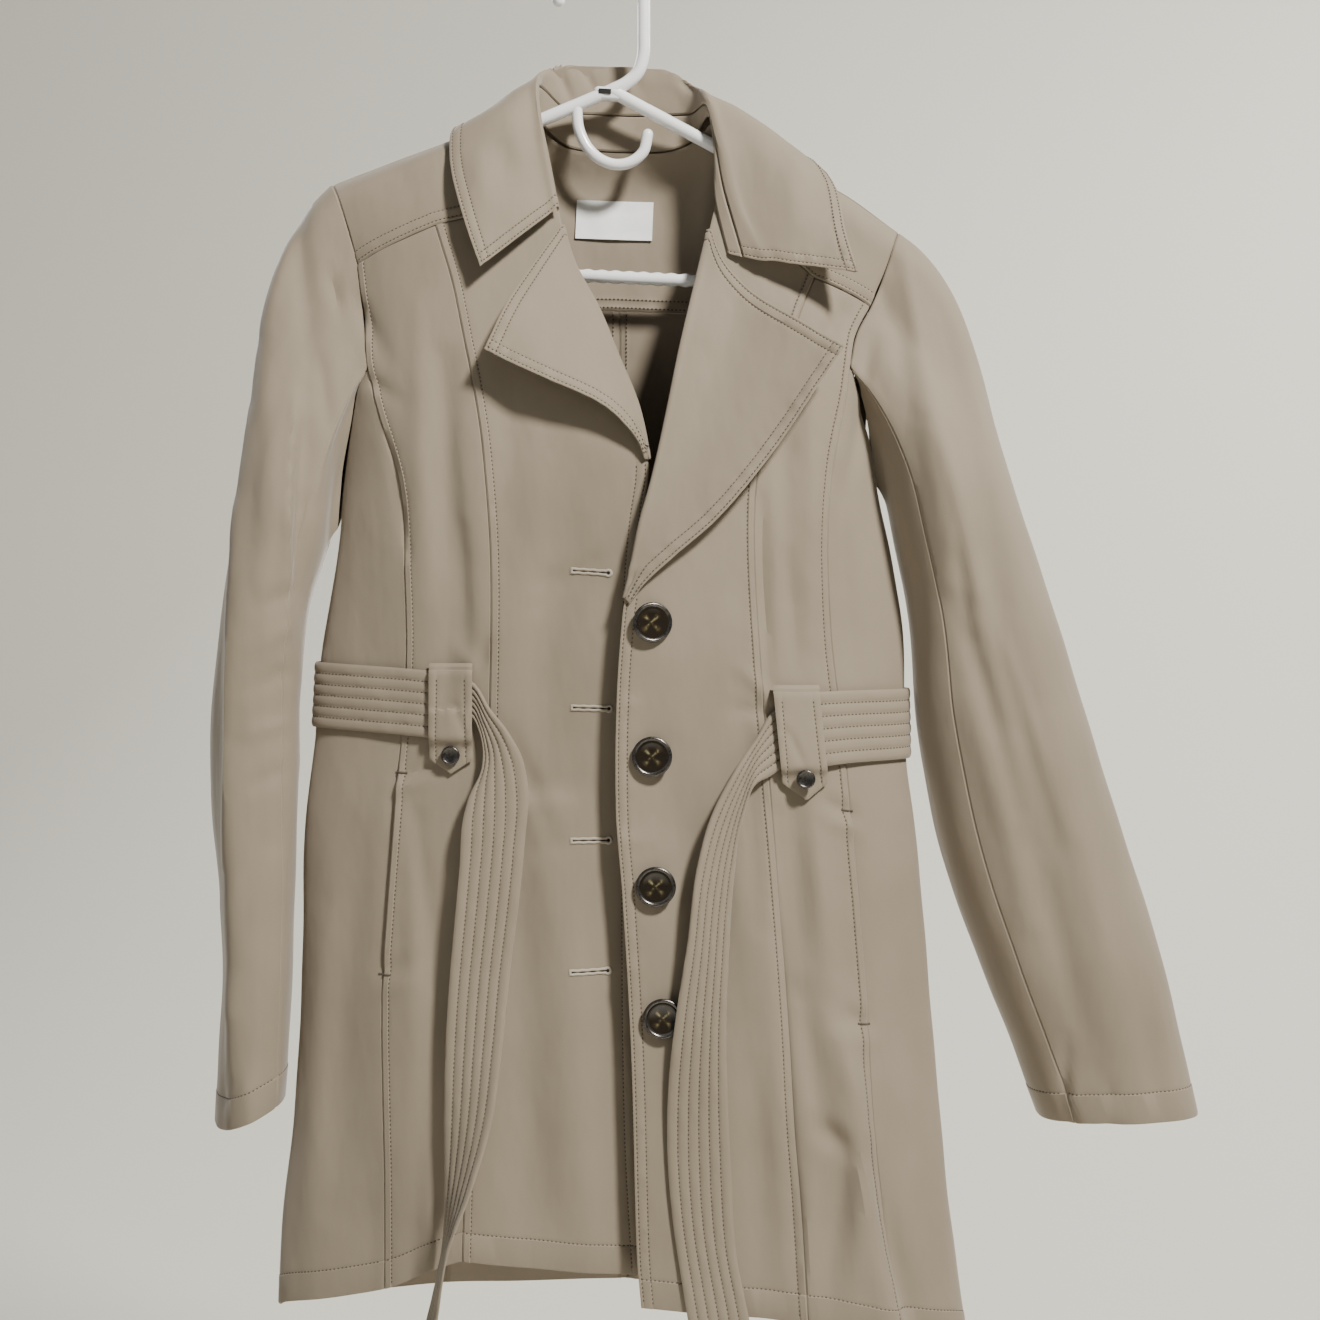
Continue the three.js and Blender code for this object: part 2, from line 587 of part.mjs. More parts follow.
function sleeveRing(rows, down, count) {
  const indexed = rows.map((row, index) => ({ ...row, index }));
  const value = (column) => read(indexed, 'index', column, down);
  const outer = vector(value('outerX'), 0, value('outerZ'));
  const inner = vector(value('innerX'), 0, value('innerZ'));
  const middle = outer.clone().add(inner).multiplyScalar(0.5);
  middle.y = (value('front') + value('back')) / 2;
  const half = outer.clone().sub(inner).multiplyScalar(0.5);
  const depth = (value('back') - value('front')) / 2;
  const towardsBody = -Math.sign(half.x) * value('lean');
  return [...Array(count).keys()].map((i) => {
    const angle = 2 * Math.PI * i / count;
    const forward = power(Math.sin(angle));
    const outwards = power(Math.cos(angle));
    const back = (ARMPIT_Y - middle.y) * Math.max(0, -outwards);
    return middle.clone().addScaledVector(half, outwards)
      .add(vector(towardsBody * forward, back - depth * forward, 0));
  });
}

// Rings of the whole sleeve: the cap leaves the armhole and turns down into the first full ring.
function sleeveRings(side) {
  const rows = side === 'right' ? SLEEVE_RIGHT : SLEEVE_LEFT;
  const outward = side === 'right' ? -1 : 1;
  const hole = armhole(side);
  const count = hole.length;
  const first = sleeveRing(rows, 0, count);
  const second = sleeveRing(rows, 0.2, count);
  const start = hole.map((point) => point.clone().add(vector(outward * 1.1, 0, 0)));
  const rings = [];
  for (let i = 0; i < SLEEVE_CAP_ROWS; i += 1) {
    const u = i / SLEEVE_CAP_ROWS;
    rings.push(start.map((from, j) => {
      const to = first[j];
      const span = from.distanceTo(to);
      const top = Math.max(0, Math.cos(2 * Math.PI * j / count));
      const leave = to.clone().sub(from).normalize()
        .add(vector(outward * (0.35 + 0.55 * top), 0, 0)).setLength(span);
      const arrive = vector().subVectors(second[j], first[j]).setLength(span);
      return vector(...['x', 'y', 'z'].map(
        (axis) => hermite(from[axis], leave[axis], to[axis], arrive[axis], u)));
    }));
  }
  const last = rows.length - 1;
  for (let i = 0; i <= SLEEVE_ROWS; i += 1) {
    rings.push(sleeveRing(rows, last * i / SLEEVE_ROWS, count));
  }
  return rings;
}

const ringsOf = { right: sleeveRings('right'), left: sleeveRings('left') };

// Normals all round a tube of rings, so both sleeve pieces share them along their seams.
function tubeNormals(rings, facing) {
  const count = rings[0].length;
  const normals = rings.map((ring, i) => ring.map((_, j) => {
    const down = vector().subVectors(
      rings[Math.min(i + 1, rings.length - 1)][j], rings[Math.max(i - 1, 0)][j]);
    const across = vector().subVectors(ring[(j + 1) % count], ring[(j + count - 1) % count]);
    return down.cross(across).normalize().multiplyScalar(facing);
  }));
  return normals.map((row, i) => row.map((normal, j) => {
    if (i >= SLEEVE_CAP_ROWS) return normal;
    const neighbours = vector().addVectors(row[(j + 1) % count], row[(j + count - 1) % count]);
    return normal.clone().add(neighbours).normalize();
  }));
}

const FRONT_SLEEVE_SEAM = 9; // armhole point where the front sleeve seam starts
const BACK_SLEEVE_SEAM = 17;

function sleevePiece(side, from, to) {
  const rings = ringsOf[side];
  const count = rings[0].length;
  const facing = side === 'right' ? 1 : -1;
  const normals = tubeNormals(rings, facing);
  const order = [];
  for (let j = from; j <= to; j += 1) order.push((j + count) % count);
  if (side === 'left') order.reverse();
  const pick = (grid) => grid.map((row) => order.map((j) => row[j]));
  return wall(drawIn(pick(rings), SEAM_GAP), pick(normals));
}

// ---------------------------------------------------------------- belt

// A quilted strip from rows of its two edges, its channels raised on the outside.
function quilted(grid) {
  const normals = gridNormals(grid);
  const across = grid[0].length - 1;
  const outer = grid.map((row, i) => row.map((point, j) => {
    const puff = BELT_PUFF * Math.abs(Math.sin(BELT_CHANNELS * Math.PI * j / across));
    return point.clone().addScaledVector(normals[i][j], puff);
  }));
  const inner = grid.map((row, i) => row.map(
    (point, j) => point.clone().addScaledVector(normals[i][j], -CLOTH)));
  return wall(outer, normals, CLOTH, inner);
}

const BELT_ACROSS = 2 * BELT_CHANNELS;

// Around the back from one carrier to the other, riding just off the coat.
const BELT_ROUTE = table('line top bottom',
  [1.62, -521, -568], [2, -519, -566], [3, -514, -561], [4, -516, -564], [5, -521, -569],
  [6, -528, -577], [7, -533, -583], [8, -535, -586], [8.6, -536, -589]);

function waistBelt() {
  const ends = [BELT_ROUTE[0].line, BELT_ROUTE[BELT_ROUTE.length - 1].line];
  const back = [4.5, 5, 5.5];
  const places = [ends[0], 1.8, ...ringPlaces(2, 4), ...back, ...ringPlaces(6, 8), 8.3, ends[1]];
  const columns = places.map((line) => {
    const top = read(BELT_ROUTE, 'line', 'top', line);
    const bottom = read(BELT_ROUTE, 'line', 'bottom', line);
    return [...Array(BELT_ACROSS + 1).keys()].map((j) => {
      const z = THREE.MathUtils.lerp(top, bottom, j / BELT_ACROSS);
      const off = BELT_STANDOFF + CLOTH;
      return bodyPoint(line, z).addScaledVector(bodyNormal(line, (top + bottom) / 2), off);
    });
  });
  return quilted(columns);
}

// Hanging ends: the strip leaves its carrier upright, turns down and hangs with a slow twist.
const BELT_END_RIGHT = table('leftX leftY leftZ rightX rightY rightZ',
  [-101, -92.2, -556, -101, -92, -522], [-89, -94.6, -554, -87.5, -95.6, -529],
  [-82, -99, -566, -76, -102, -546], [-81, -103, -590, -62, -107, -563],
  [-90, -107, -610, -52, -108, -581], [-93, -110, -624, -48, -109, -600],
  [-95, -111, -655, -50, -110, -640], [-98, -112, -690, -54, -112, -681],
  [-102, -112, -735, -60, -113, -728], [-105, -112, -785, -65, -118, -778],
  [-106, -112, -835, -72, -128, -830], [-106, -111, -880, -86, -140, -876],
  [-107, -111, -918, -100, -148, -914], [-114, -113, -955, -106, -150, -952],
  [-122, -118, -988, -110, -148, -984], [-126, -122, -1008, -112, -148, -1004]);
const BELT_END_LEFT = table('leftX leftY leftZ rightX rightY rightZ',
  [136, -101.4, -541, 136, -101.9, -584], [123, -104, -549, 127, -104.4, -590],
  [112, -107.5, -566, 121, -106.5, -594], [96, -116, -590, 111, -112, -599],
  [80, -121, -620, 101, -113, -625], [70, -124, -655, 96, -113, -660],
  [63, -124, -708, 92, -114, -715], [56, -122, -752, 90, -115, -765],
  [50, -119, -805, 91, -116, -818], [49, -118, -850, 93, -117, -862],
  [53, -118, -902, 97, -118, -925], [60, -119, -948, 106, -119, -970],
  [66, -120, -985, 112, -121, -1002]);
const END_STEPS = 14;

function beltEnd(rows) {
  const edge = (side) => curvePoints(rows.map((row) => ({
    x: row[`${side}X`], y: row[`${side}Y`], z: row[`${side}Z`] })), END_STEPS);
  const [left, right] = [edge('left'), edge('right')];
  return quilted(left.map((start, i) => [...Array(BELT_ACROSS + 1).keys()].map(
    (j) => vector().lerpVectors(start, right[i], j / BELT_ACROSS))));
}

// ---------------------------------------------------------------- carriers and studs

// A strap sewn to the coat at its top, over the belt, with a pointed end held by a stud.
const CARRIERS = {
  right: { x: -103, z: -516, width: 31, length: 77, point: 10, slant: 0, line: 1.5, over: 52 },
  left: { x: 139, z: -531, width: 33, length: 80, point: 12, slant: 8, line: 8.6, over: 58 },
};
// How far the strap stands off the coat: above the belt, over it, and below it.
const CARRIER_TOP = table('down off', [0, 2.6], [2, 4.6], [4.5, 8], [8, 8.8], [14, 8.8]);
const CARRIER_LOW = table('below off', [-3, 8.8], [0.5, 8.2], [5, 4.8], [10, 3.6], [28, 3.2]);

function carrierPoint(shape, side, down) {
  const x = shape.x + shape.slant * Math.min(down / shape.length, 1) + side * shape.width / 2;
  const z = shape.z - down;
  const off = down < 20 ? read(CARRIER_TOP, 'down', 'off', down)
    : read(CARRIER_LOW, 'below', 'off', down - shape.over);
  return vector(x, nearestBodyY(shape.line, x, z) - off, z);
}

function carrier(shape) {
  const straight = shape.length - shape.point;
  const steps = [0, 2, 4.5, 8, 14, shape.over - 3, shape.over + 0.5, shape.over + 5, straight - 1.5];
  const across = [-1, -0.5, 0, 0.5, 1];
  const grid = steps.map((down) => across.map((side) => carrierPoint(shape, side, down)));
  grid.push(across.map((side) => carrierPoint(
    shape, side, shape.length - shape.point * Math.abs(side))));
  return wall(grid, gridNormals(grid));
}

// Y of the body's front at an X, looked up around a line.
function nearestBodyY(line, x, z) {
  let [low, high] = [line - 1, line + 1];
  const rising = bodyPoint(high, z).x > bodyPoint(low, z).x;
  for (let i = 0; i < 24; i += 1) {
    const middle = (low + high) / 2;
    if ((bodyPoint(middle, z).x < x) === rising) low = middle;
    else high = middle;
  }
  return bodyPoint((low + high) / 2, z).y;
}

const STUD_RISE = 3; // from the middle of the stud to where the strap starts to narrow

function stud(shape) {
  const profile = [[0, 0], [4.6, 0], [4.6, 0.8], [STUD_RADIUS, 1], [STUD_RADIUS, 2], [5.6, 2.9],
    [4.4, 2.5], [0, 2.7]];
  const geometry = new THREE.LatheGeometry(profile.map(([r, h]) => new THREE.Vector2(r, h)), 14);
  geometry.rotateX(Math.PI);
  const down = shape.length - shape.point - STUD_RISE;
  const around = [[0, 0], [0.4, 0], [-0.4, 0], [0, 6], [0, -6]];
  const front = Math.min(...around.map(([side, dz]) => carrierPoint(shape, side, down + dz).y));
  const middle = carrierPoint(shape, 0, down);
  geometry.translate(middle.x, front - SEAM_GAP, middle.z);
  return geometry;
}

// ---------------------------------------------------------------- buttons

const BUTTONS = table('x z turn', [38, -487, 14], [38.5, -580, 0], [41, -670, 0], [46, -761, 0]);

function button(row) {
  const profile = [[0, 0], [3.2, 0], [3.2, 1.4], [11, 1.5], [BUTTON_RADIUS, 3], [BUTTON_RADIUS, 4.4],
    [12.8, 5.2], [11.2, 4.6], [8, 3.8], [0, 3.4]];
  const geometry = new THREE.LatheGeometry(profile.map(([r, h]) => new THREE.Vector2(r, h)), 18);
  geometry.rotateX(Math.PI);
  geometry.rotateZ(THREE.MathUtils.degToRad(row.turn));
  geometry.translate(row.x, nearestBodyY(9.2, row.x, row.z) - SEAM_GAP - 0.3, row.z);
  return geometry;
}

// ---------------------------------------------------------------- label

const LABEL = { x: 10, z: -185, width: 57, height: 29, thickness: 1 };

// The label lies on the inside of the back yoke.
function label(yoke) {
  const inside = new THREE.Mesh(yoke, new THREE.MeshStandardMaterial({ side: THREE.DoubleSide }));
  const columns = 6;
  const grid = [0, 1].map((i) => [...Array(columns + 1).keys()].map((j) => {
    const x = LABEL.x + LABEL.width * (j / columns - 0.5);
    const z = LABEL.z + LABEL.height * (0.5 - i);
    const ray = new THREE.Raycaster(vector(x, HANGER_Y, z), vector(0, 1, 0));
    const y = ray.intersectObject(inside)[0].point.y;
    return vector(x, y - LAYER_GAP - LABEL.thickness, z);
  }));
  return wall(grid, gridNormals(grid), LABEL.thickness);
}

// ---------------------------------------------------------------- hanger and wall hook

const ring = (radius, sides) => new THREE.Shape(
  [...Array(sides).keys()].map((i) => new THREE.Vector2(
    radius * Math.cos(2 * Math.PI * i / sides), radius * Math.sin(2 * Math.PI * i / sides))));

function tube(points, radius, steps, sides = 8) {
  const path = new THREE.CatmullRomCurve3(points, false, 'centripetal');
  return new THREE.ExtrudeGeometry(ring(radius, sides),
    { steps, extrudePath: path, bevelEnabled: false });
}

// A place in the hanger's own plane, turned with its tilt.
function onHanger(x, z) {
  const [c, s] = [Math.cos(HANGER_TILT), Math.sin(HANGER_TILT)];
  return vector(HANGER_HUB.x + x * c + z * s, HANGER_Y, HANGER_HUB.z - x * s + z * c);
}

const HUB_REACH = 30; // stub of each arm that is moulded with the hub
const endRadius = (BAR_DROP - Math.tan(ARM_SLOPE) * HANGER_REACH)
  / (1 + 1 / Math.cos(ARM_SLOPE) - Math.tan(ARM_SLOPE));

function hangerArm(side) {
  const centre = { x: HANGER_REACH - endRadius, z: -BAR_DROP + endRadius };
  const start = HUB_REACH + SEAM_GAP;
  const points = [0, 0.25, 0.5, 0.75, 0.97].map((share) => {
    const x = THREE.MathUtils.lerp(start, centre.x + endRadius * Math.sin(ARM_SLOPE), share);
    return onHanger(side * x, -Math.tan(ARM_SLOPE) * x);
  });
  const turns = 7;
  for (let i = 0; i <= turns; i += 1) {
    const angle = THREE.MathUtils.lerp(Math.PI / 2 - ARM_SLOPE, -Math.PI / 2, i / turns);
    points.push(onHanger(side * (centre.x + endRadius * Math.cos(angle)),
      centre.z + endRadius * Math.sin(angle)));
  }
  return tube(points, TUBE_RADIUS, 20);
}

function hangerBar() {
  const reach = HANGER_REACH - endRadius - 4 * SEAM_GAP;
  return tube([-1, -0.5, 0, 0.5, 1].map((share) => onHanger(share * reach, -BAR_DROP)),
    TUBE_RADIUS, 6);
}

const SHAFT = table('x z',
  [8, -97], [20, -91], [27.5, -84], [31.5, -73], [32.2, -55], [32.2, -35]);
const CROOK_END = THREE.MathUtils.degToRad(200);
const ACCESSORY_HOOK = table('x z',
  [-17, -107], [-15, -126], [-8.5, -139], [0, -147], [12, -151], [23, -149], [31.5, -142], [35, -129]);

function hangerTop() {
  const stub = (side) => tube([0, 0.5, 1].map((share) => onHanger(
    side * HUB_REACH * share, -Math.tan(ARM_SLOPE) * HUB_REACH * share)), TUBE_RADIUS, 3);
  const shaft = SHAFT.map((row) => vector(row.x, HANGER_Y, row.z));
  const turns = 10;
  for (let i = 0; i <= turns; i += 1) {
    const angle = CROOK_END * i / turns;
    shaft.push(vector(CROOK_RADIUS * Math.cos(angle), HANGER_Y,
      CROOK_CENTRE_Z + CROOK_RADIUS * Math.sin(angle)));
  }
  const small = ACCESSORY_HOOK.map((row) => vector(row.x, HANGER_Y, row.z));
  const hub = new THREE.SphereGeometry(TUBE_RADIUS * 1.12, 12, 8);
  hub.translate(HANGER_HUB.x, HANGER_Y, HANGER_HUB.z);
  const pieces = [stub(-1), stub(1), tube(shaft, TUBE_RADIUS, 24), tube(small, 4.1, 14), hub];
  return fromSolid(pieces.map(toSolid).reduce((sum, piece) => sum.add(piece)));
}

function toSolid(geometry) {
  const bare = geometry.clone();
  bare.deleteAttribute('normal');
  bare.deleteAttribute('uv');
  const merged = mergeVertices(bare);
  return new wasm.Manifold(new wasm.Mesh({
    numProp: 3,
    vertProperties: new Float32Array(merged.attributes.position.array),
    triVerts: new Uint32Array(merged.index.array),
  }));
}

function fromSolid(solid) {
  const mesh = solid.getMesh();
  const geometry = new THREE.BufferGeometry();
  geometry.setAttribute('position', new THREE.Float32BufferAttribute(mesh.vertProperties, 3));
  geometry.setIndex(new THREE.Uint32BufferAttribute(mesh.triVerts, 1));
  geometry.computeVertexNormals();
  return geometry;
}

// The prong runs out from the plate, carries the crook and turns up at its end.
function wallHook() {
  const plate = new THREE.BoxGeometry(PLATE.width, PLATE.thickness, PLATE.height);
  plate.translate(0, -PLATE.thickness / 2, 0);
  const carry = CROOK_CENTRE_Z + CROOK_RADIUS - TUBE_RADIUS - SEAM_GAP - PRONG_RADIUS;
  const prong = tube([vector(0, -2, carry - 8), vector(0, -16, carry - 5), vector(0, -30, carry - 0.6),
    vector(0, -38, carry), vector(0, -52, carry), vector(0, -62, carry + 4),
    vector(0, -69, carry + 14), vector(0, -71, carry + 22)], PRONG_RADIUS, 20, 12);
  return fromSolid(toSolid(plate).add(toSolid(prong)));
}

// ---------------------------------------------------------------- assembly

const finish = (color, roughness, metalness = 0) => new THREE.MeshStandardMaterial(
  { color, roughness, metalness });

const coat = new THREE.Group();

function add(name, geometry, material = finish(COLOUR.cloth, 0.85)) {
  const mesh = new THREE.Mesh(geometry, material);
  mesh.name = name;
  coat.add(mesh);
}

add('front_centre_right', bodyPanel(0, 1, 0));
add('front_middle_right', bodyPanel(1, 2, 0));
add('front_side_right', bodyPanel(2, 3, ARMHOLE_ROWS));
add('back_side_right', bodyPanel(3, 4, ARMHOLE_ROWS));
add('back_centre_right', bodyPanel(4, 5, 0));
add('back_centre_left', bodyPanel(5, 6, 0));
add('back_side_left', bodyPanel(6, 7, ARMHOLE_ROWS));
add('front_side_left', bodyPanel(7, 8, ARMHOLE_ROWS));
add('front_middle_left', bodyPanel(8, 9, 0));
add('front_centre_left', bodyPanel(9, 10, 0));

add('yoke_right', frontYokeRight());
add('yoke_left', frontYokeLeft());
const yoke = backYoke();
add('yoke_back', yoke);
add('label', label(yoke), finish(COLOUR.label, 0.6));

add('lapel_right', lapel(LAPEL_RIGHT));
add('lapel_left', lapel(LAPEL_LEFT));
add('collar_stand', collarStand());
add('collar_leaf', collarLeaf());

for (const side of ['right', 'left']) {
  add(`sleeve_top_${side}`, sleevePiece(side, BACK_SLEEVE_SEAM - ringsOf[side][0].length,
    FRONT_SLEEVE_SEAM));
  add(`sleeve_under_${side}`, sleevePiece(side, FRONT_SLEEVE_SEAM, BACK_SLEEVE_SEAM));
}

add('belt_waist', waistBelt());
add('belt_end_right', beltEnd(BELT_END_RIGHT));
add('belt_end_left', beltEnd(BELT_END_LEFT));
for (const side of ['right', 'left']) {
  add(`belt_carrier_${side}`, carrier(CARRIERS[side]));
  add(`carrier_stud_${side}`, stud(CARRIERS[side]), finish(COLOUR.metal, 0.3, 1));
}

BUTTONS.forEach((row, i) => add(`button_${i + 1}`, button(row), finish(COLOUR.button, 0.25)));

add('hanger_top', hangerTop(), finish(COLOUR.plastic, 0.25));
add('hanger_arm_right', hangerArm(-1), finish(COLOUR.plastic, 0.25));
add('hanger_arm_left', hangerArm(1), finish(COLOUR.plastic, 0.25));
add('hanger_bar', hangerBar(), finish(COLOUR.plastic, 0.25));
add('wall_hook', wallHook(), finish(COLOUR.steel, 0.35, 1));

export default coat;
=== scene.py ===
import math

import bpy
import numpy as np
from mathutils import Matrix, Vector
from mathutils.bvhtree import BVHTree


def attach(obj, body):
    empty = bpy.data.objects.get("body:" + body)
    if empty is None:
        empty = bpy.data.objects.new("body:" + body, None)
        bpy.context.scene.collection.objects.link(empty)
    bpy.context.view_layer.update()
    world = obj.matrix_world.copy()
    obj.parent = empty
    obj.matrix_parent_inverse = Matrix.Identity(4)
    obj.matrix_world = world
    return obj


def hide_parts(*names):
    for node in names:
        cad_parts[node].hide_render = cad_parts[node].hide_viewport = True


# A trench coat on a tubular hanger and a wall hook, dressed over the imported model.
# Sizes and places are millimetres in the model's frame; meshes are made in metres.
# "right" and "left" are the wearer's; heights on a wall are measured outwards.

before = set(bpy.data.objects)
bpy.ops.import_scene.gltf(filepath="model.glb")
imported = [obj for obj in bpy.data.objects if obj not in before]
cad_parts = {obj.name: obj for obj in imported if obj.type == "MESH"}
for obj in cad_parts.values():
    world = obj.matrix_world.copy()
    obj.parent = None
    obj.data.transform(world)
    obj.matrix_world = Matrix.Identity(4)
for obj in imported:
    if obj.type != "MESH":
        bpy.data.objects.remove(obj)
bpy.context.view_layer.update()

MM = 0.001
CLOTH = 1.4  # thickness of one bonded layer
LAYER_GAP = 0.4
STEP = 4.0  # usual distance between points of a wall
PITCH = 3.0  # from one stitch to the next
STITCH = (1.7, 0.55)  # length and half thickness of a stitch
ROW_END = 1.5  # bare stretch at each end of a row of stitches

# ---------------------------------------------------------------- tables and curves


def table(columns, *rows):
    """Named columns of a short table."""
    return dict(zip(columns.split(), np.array(rows, float).T))


def numbered(rows):
    """The table with a column that counts its rows from 0."""
    rows["row"] = np.arange(len(next(iter(rows.values()))), dtype=float)
    return rows


def hermite(p, m, q, n, u):
    v, w = u * u, u ** 3
    return (2 * w - 3 * v + 1) * p + (w - 2 * v + u) * m + (3 * v - 2 * w) * q + (w - v) * n


def read(rows, by, column, at):
    """One column where another has the given values: a smooth curve through the rows."""
    t, value = rows[by], rows[column]
    if t[0] > t[-1]:
        t, value = t[::-1], value[::-1]
    at = np.clip(at, t[0], t[-1])
    slope = np.empty_like(value)
    slope[1:-1] = (value[2:] - value[:-2]) / (t[2:] - t[:-2])
    slope[0] = (value[1] - value[0]) / (t[1] - t[0])
    slope[-1] = (value[-1] - value[-2]) / (t[-1] - t[-2])
    i = np.clip(np.searchsorted(t, at) - 1, 0, len(t) - 2)
    span = t[i + 1] - t[i]
    u = (at - t[i]) / span
    return hermite(value[i], slope[i] * span, value[i + 1], slope[i + 1] * span, u)


def lengths(points):
    """Distance run from the first point to each one."""
    steps = np.linalg.norm(np.diff(points, axis=0), axis=-1)
    return np.concatenate([[0], np.cumsum(np.maximum(steps, 1e-6))])


def along(points, places):
    """Points of a smooth curve through the given ones; places turns its length into distances."""
    knots = lengths(points)
    slope = np.gradient(points, knots, axis=0)

    def at(t):
        i = np.clip(np.searchsorted(knots, t) - 1, 0, len(knots) - 2)
        span = (knots[i + 1] - knots[i])[:, None]
        u = (t - knots[i])[:, None] / span
        return hermite(points[i], slope[i] * span, points[i + 1], slope[i + 1] * span, u)

    fine = np.interp(np.linspace(0, len(knots) - 1, 6 * len(knots)), np.arange(len(knots)), knots)
    run = lengths(at(fine))
    return at(np.interp(places(run[-1]), run, fine))


def evenly(points, count):
    """The smooth curve through the points, in equal steps."""
    return along(np.asarray(points, float), lambda length: np.linspace(0, length, count + 1))


def xyz(rows):
    return np.stack([rows["x"], rows["y"], rows["z"]], -1)


def mix(a, b, share):
    return a + (b - a) * share


def unit(v):
    return v / np.maximum(np.linalg.norm(v, axis=-1, keepdims=True), 1e-9)


def bell(distance, width):
    return np.exp(-((distance / width) ** 2))


# ---------------------------------------------------------------- the body's own shape

BODY_LINES = [
    table("z x y", [-180, -31, -58], [-225, -19, -66], [-261, -1, -75], [-296, 13, -84],
          [-331, 27, -91], [-360, 34, -95], [-380, 36, -96], [-417, 31, -96], [-470, 27, -94],
          [-620, 26, -92], [-752, 26, -93], [-857, 28, -94], [-945, 33, -95]),
    table("z x y", [-201, -117, -70], [-243, -104, -79], [-284, -95, -87], [-323, -87, -92],
          [-362, -81, -95], [-443, -75, -95], [-550, -76, -94], [-611, -79, -95], [-716, -83, -98],
          [-806, -89, -101], [-858, -92, -102], [-933, -94, -104]),
    table("z x y", [-228, -174, -61], [-270, -168.5, -68], [-305, -165, -74], [-346, -154, -79],
          [-389, -141, -83], [-442, -137, -84], [-519, -136, -83], [-595, -142, -84],
          [-685, -148, -88], [-753, -152, -90], [-861, -150, -92], [-956, -150, -93]),
    table("z x y", [-300, -185, -46], [-380, -188, -48], [-419, -189, -50], [-477, -197, -50],
          [-513, -202, -50], [-568, -205, -50], [-632, -212, -52], [-721, -215, -53],
          [-781, -217, -55], [-842, -221, -56], [-914, -228, -57], [-975, -230, -58]),
    table("z x y", [-250, -174, -29], [-280, -168, -27], [-312, -162, -25], [-360, -132, -22],
          [-410, -114, -20], [-500, -103, -19], [-560, -102, -19], [-700, -108, -18],
          [-978, -120, -17]),
    table("z x y", [-253, 14, -17], [-400, 14, -16], [-560, 15, -17], [-975, 20, -15]),
    table("z x y", [-262, 196, -29], [-290, 190, -27], [-318, 184, -25], [-366, 160, -22],
          [-410, 143, -20], [-500, 133, -19], [-560, 131, -19], [-700, 139, -18], [-988, 156, -17]),
    table("z x y", [-290, 192, -46], [-350, 198, -48], [-387, 201, -50], [-440, 212, -50],
          [-491, 220, -50], [-583, 221, -51], [-624, 226, -52], [-695, 233, -53], [-760, 239, -54],
          [-834, 246, -56], [-908, 252, -57], [-1004, 264, -58]),
    table("z x y", [-258, 196, -61], [-279, 185, -67], [-304, 180, -73], [-328, 176, -77],
          [-365, 168, -83], [-406, 163, -86], [-446, 162, -87], [-499, 165, -87], [-590, 176, -88],
          [-700, 185, -91], [-770, 190, -93], [-843, 194, -94], [-896, 201, -95], [-988, 214, -96]),
    table("z x y", [-238, 155, -67], [-270, 142, -76], [-330, 128, -90], [-379, 113, -99],
          [-408, 110, -102], [-447, 110, -103], [-499, 113, -102], [-595, 120, -102],
          [-639, 124, -104], [-750, 133, -107], [-839, 138, -109], [-891, 142, -110],
          [-975, 147, -112]),
    table("z x y", [-180, 85, -58], [-234, 72.5, -72], [-287, 60, -88], [-338, 50, -100],
          [-388, 39, -108], [-418, 31, -110], [-457, 23, -111], [-473, 19, -111], [-541, 14, -111],
          [-619, 13.5, -111], [-677, 18, -112], [-784, 24, -113], [-925, 28, -114],
          [-961, 31, -115]),
]
LAST_LINE = len(BODY_LINES) - 1
LEVELS = table(
    "top underarm hem", [-180, -331, -945], [-201, -323, -933], [-228, -305, -956],
    [-380, -419, -979], [-250, -312, -978], [-253, -330, -975], [-262, -318, -988],
    [-350, -387, -1004], [-258, -304, -988], [-238, -330, -974], [-180, -388, -961])
UNDERARMS = (3, 7)
ARMHOLE_CURVE = 1.6

BODY_FOLDS = table(
    "line lower top bottom width depth",
    [0.55, 0.6, -300, -560, 0.22, 4], [1.5, 1.45, -260, -500, 0.2, 3],
    [0.45, 0.35, -560, -940, 0.2, -4], [1.45, 1.6, -600, -980, 0.22, 4],
    [2.5, 2.45, -600, -990, 0.2, -4], [8.5, 8.1, -720, -1000, 0.24, -8],
    [8.25, 7.8, -800, -1010, 0.16, 7], [9.45, 9.3, -560, -980, 0.2, 3],
    [4.5, 4.4, -330, -980, 0.2, 3], [5.6, 5.7, -500, -980, 0.2, -3],
    [6.4, 6.5, -330, -980, 0.2, 3])


def fold_depth(line, z):
    """How far the body's large folds push its outside in or out."""
    depth = np.zeros(np.shape(z))
    for at, lower, top, bottom, width, deep in zip(*BODY_FOLDS.values()):
        down = (top - z) / (top - bottom)
        fade = np.sin(np.clip(down, 0, 0.75) / 0.75 * math.pi / 2) ** 2
        fade = fade * (down > 0) * (down < 1.2)
        depth += deep * fade * bell(line - mix(at, lower, down), width)
    return depth


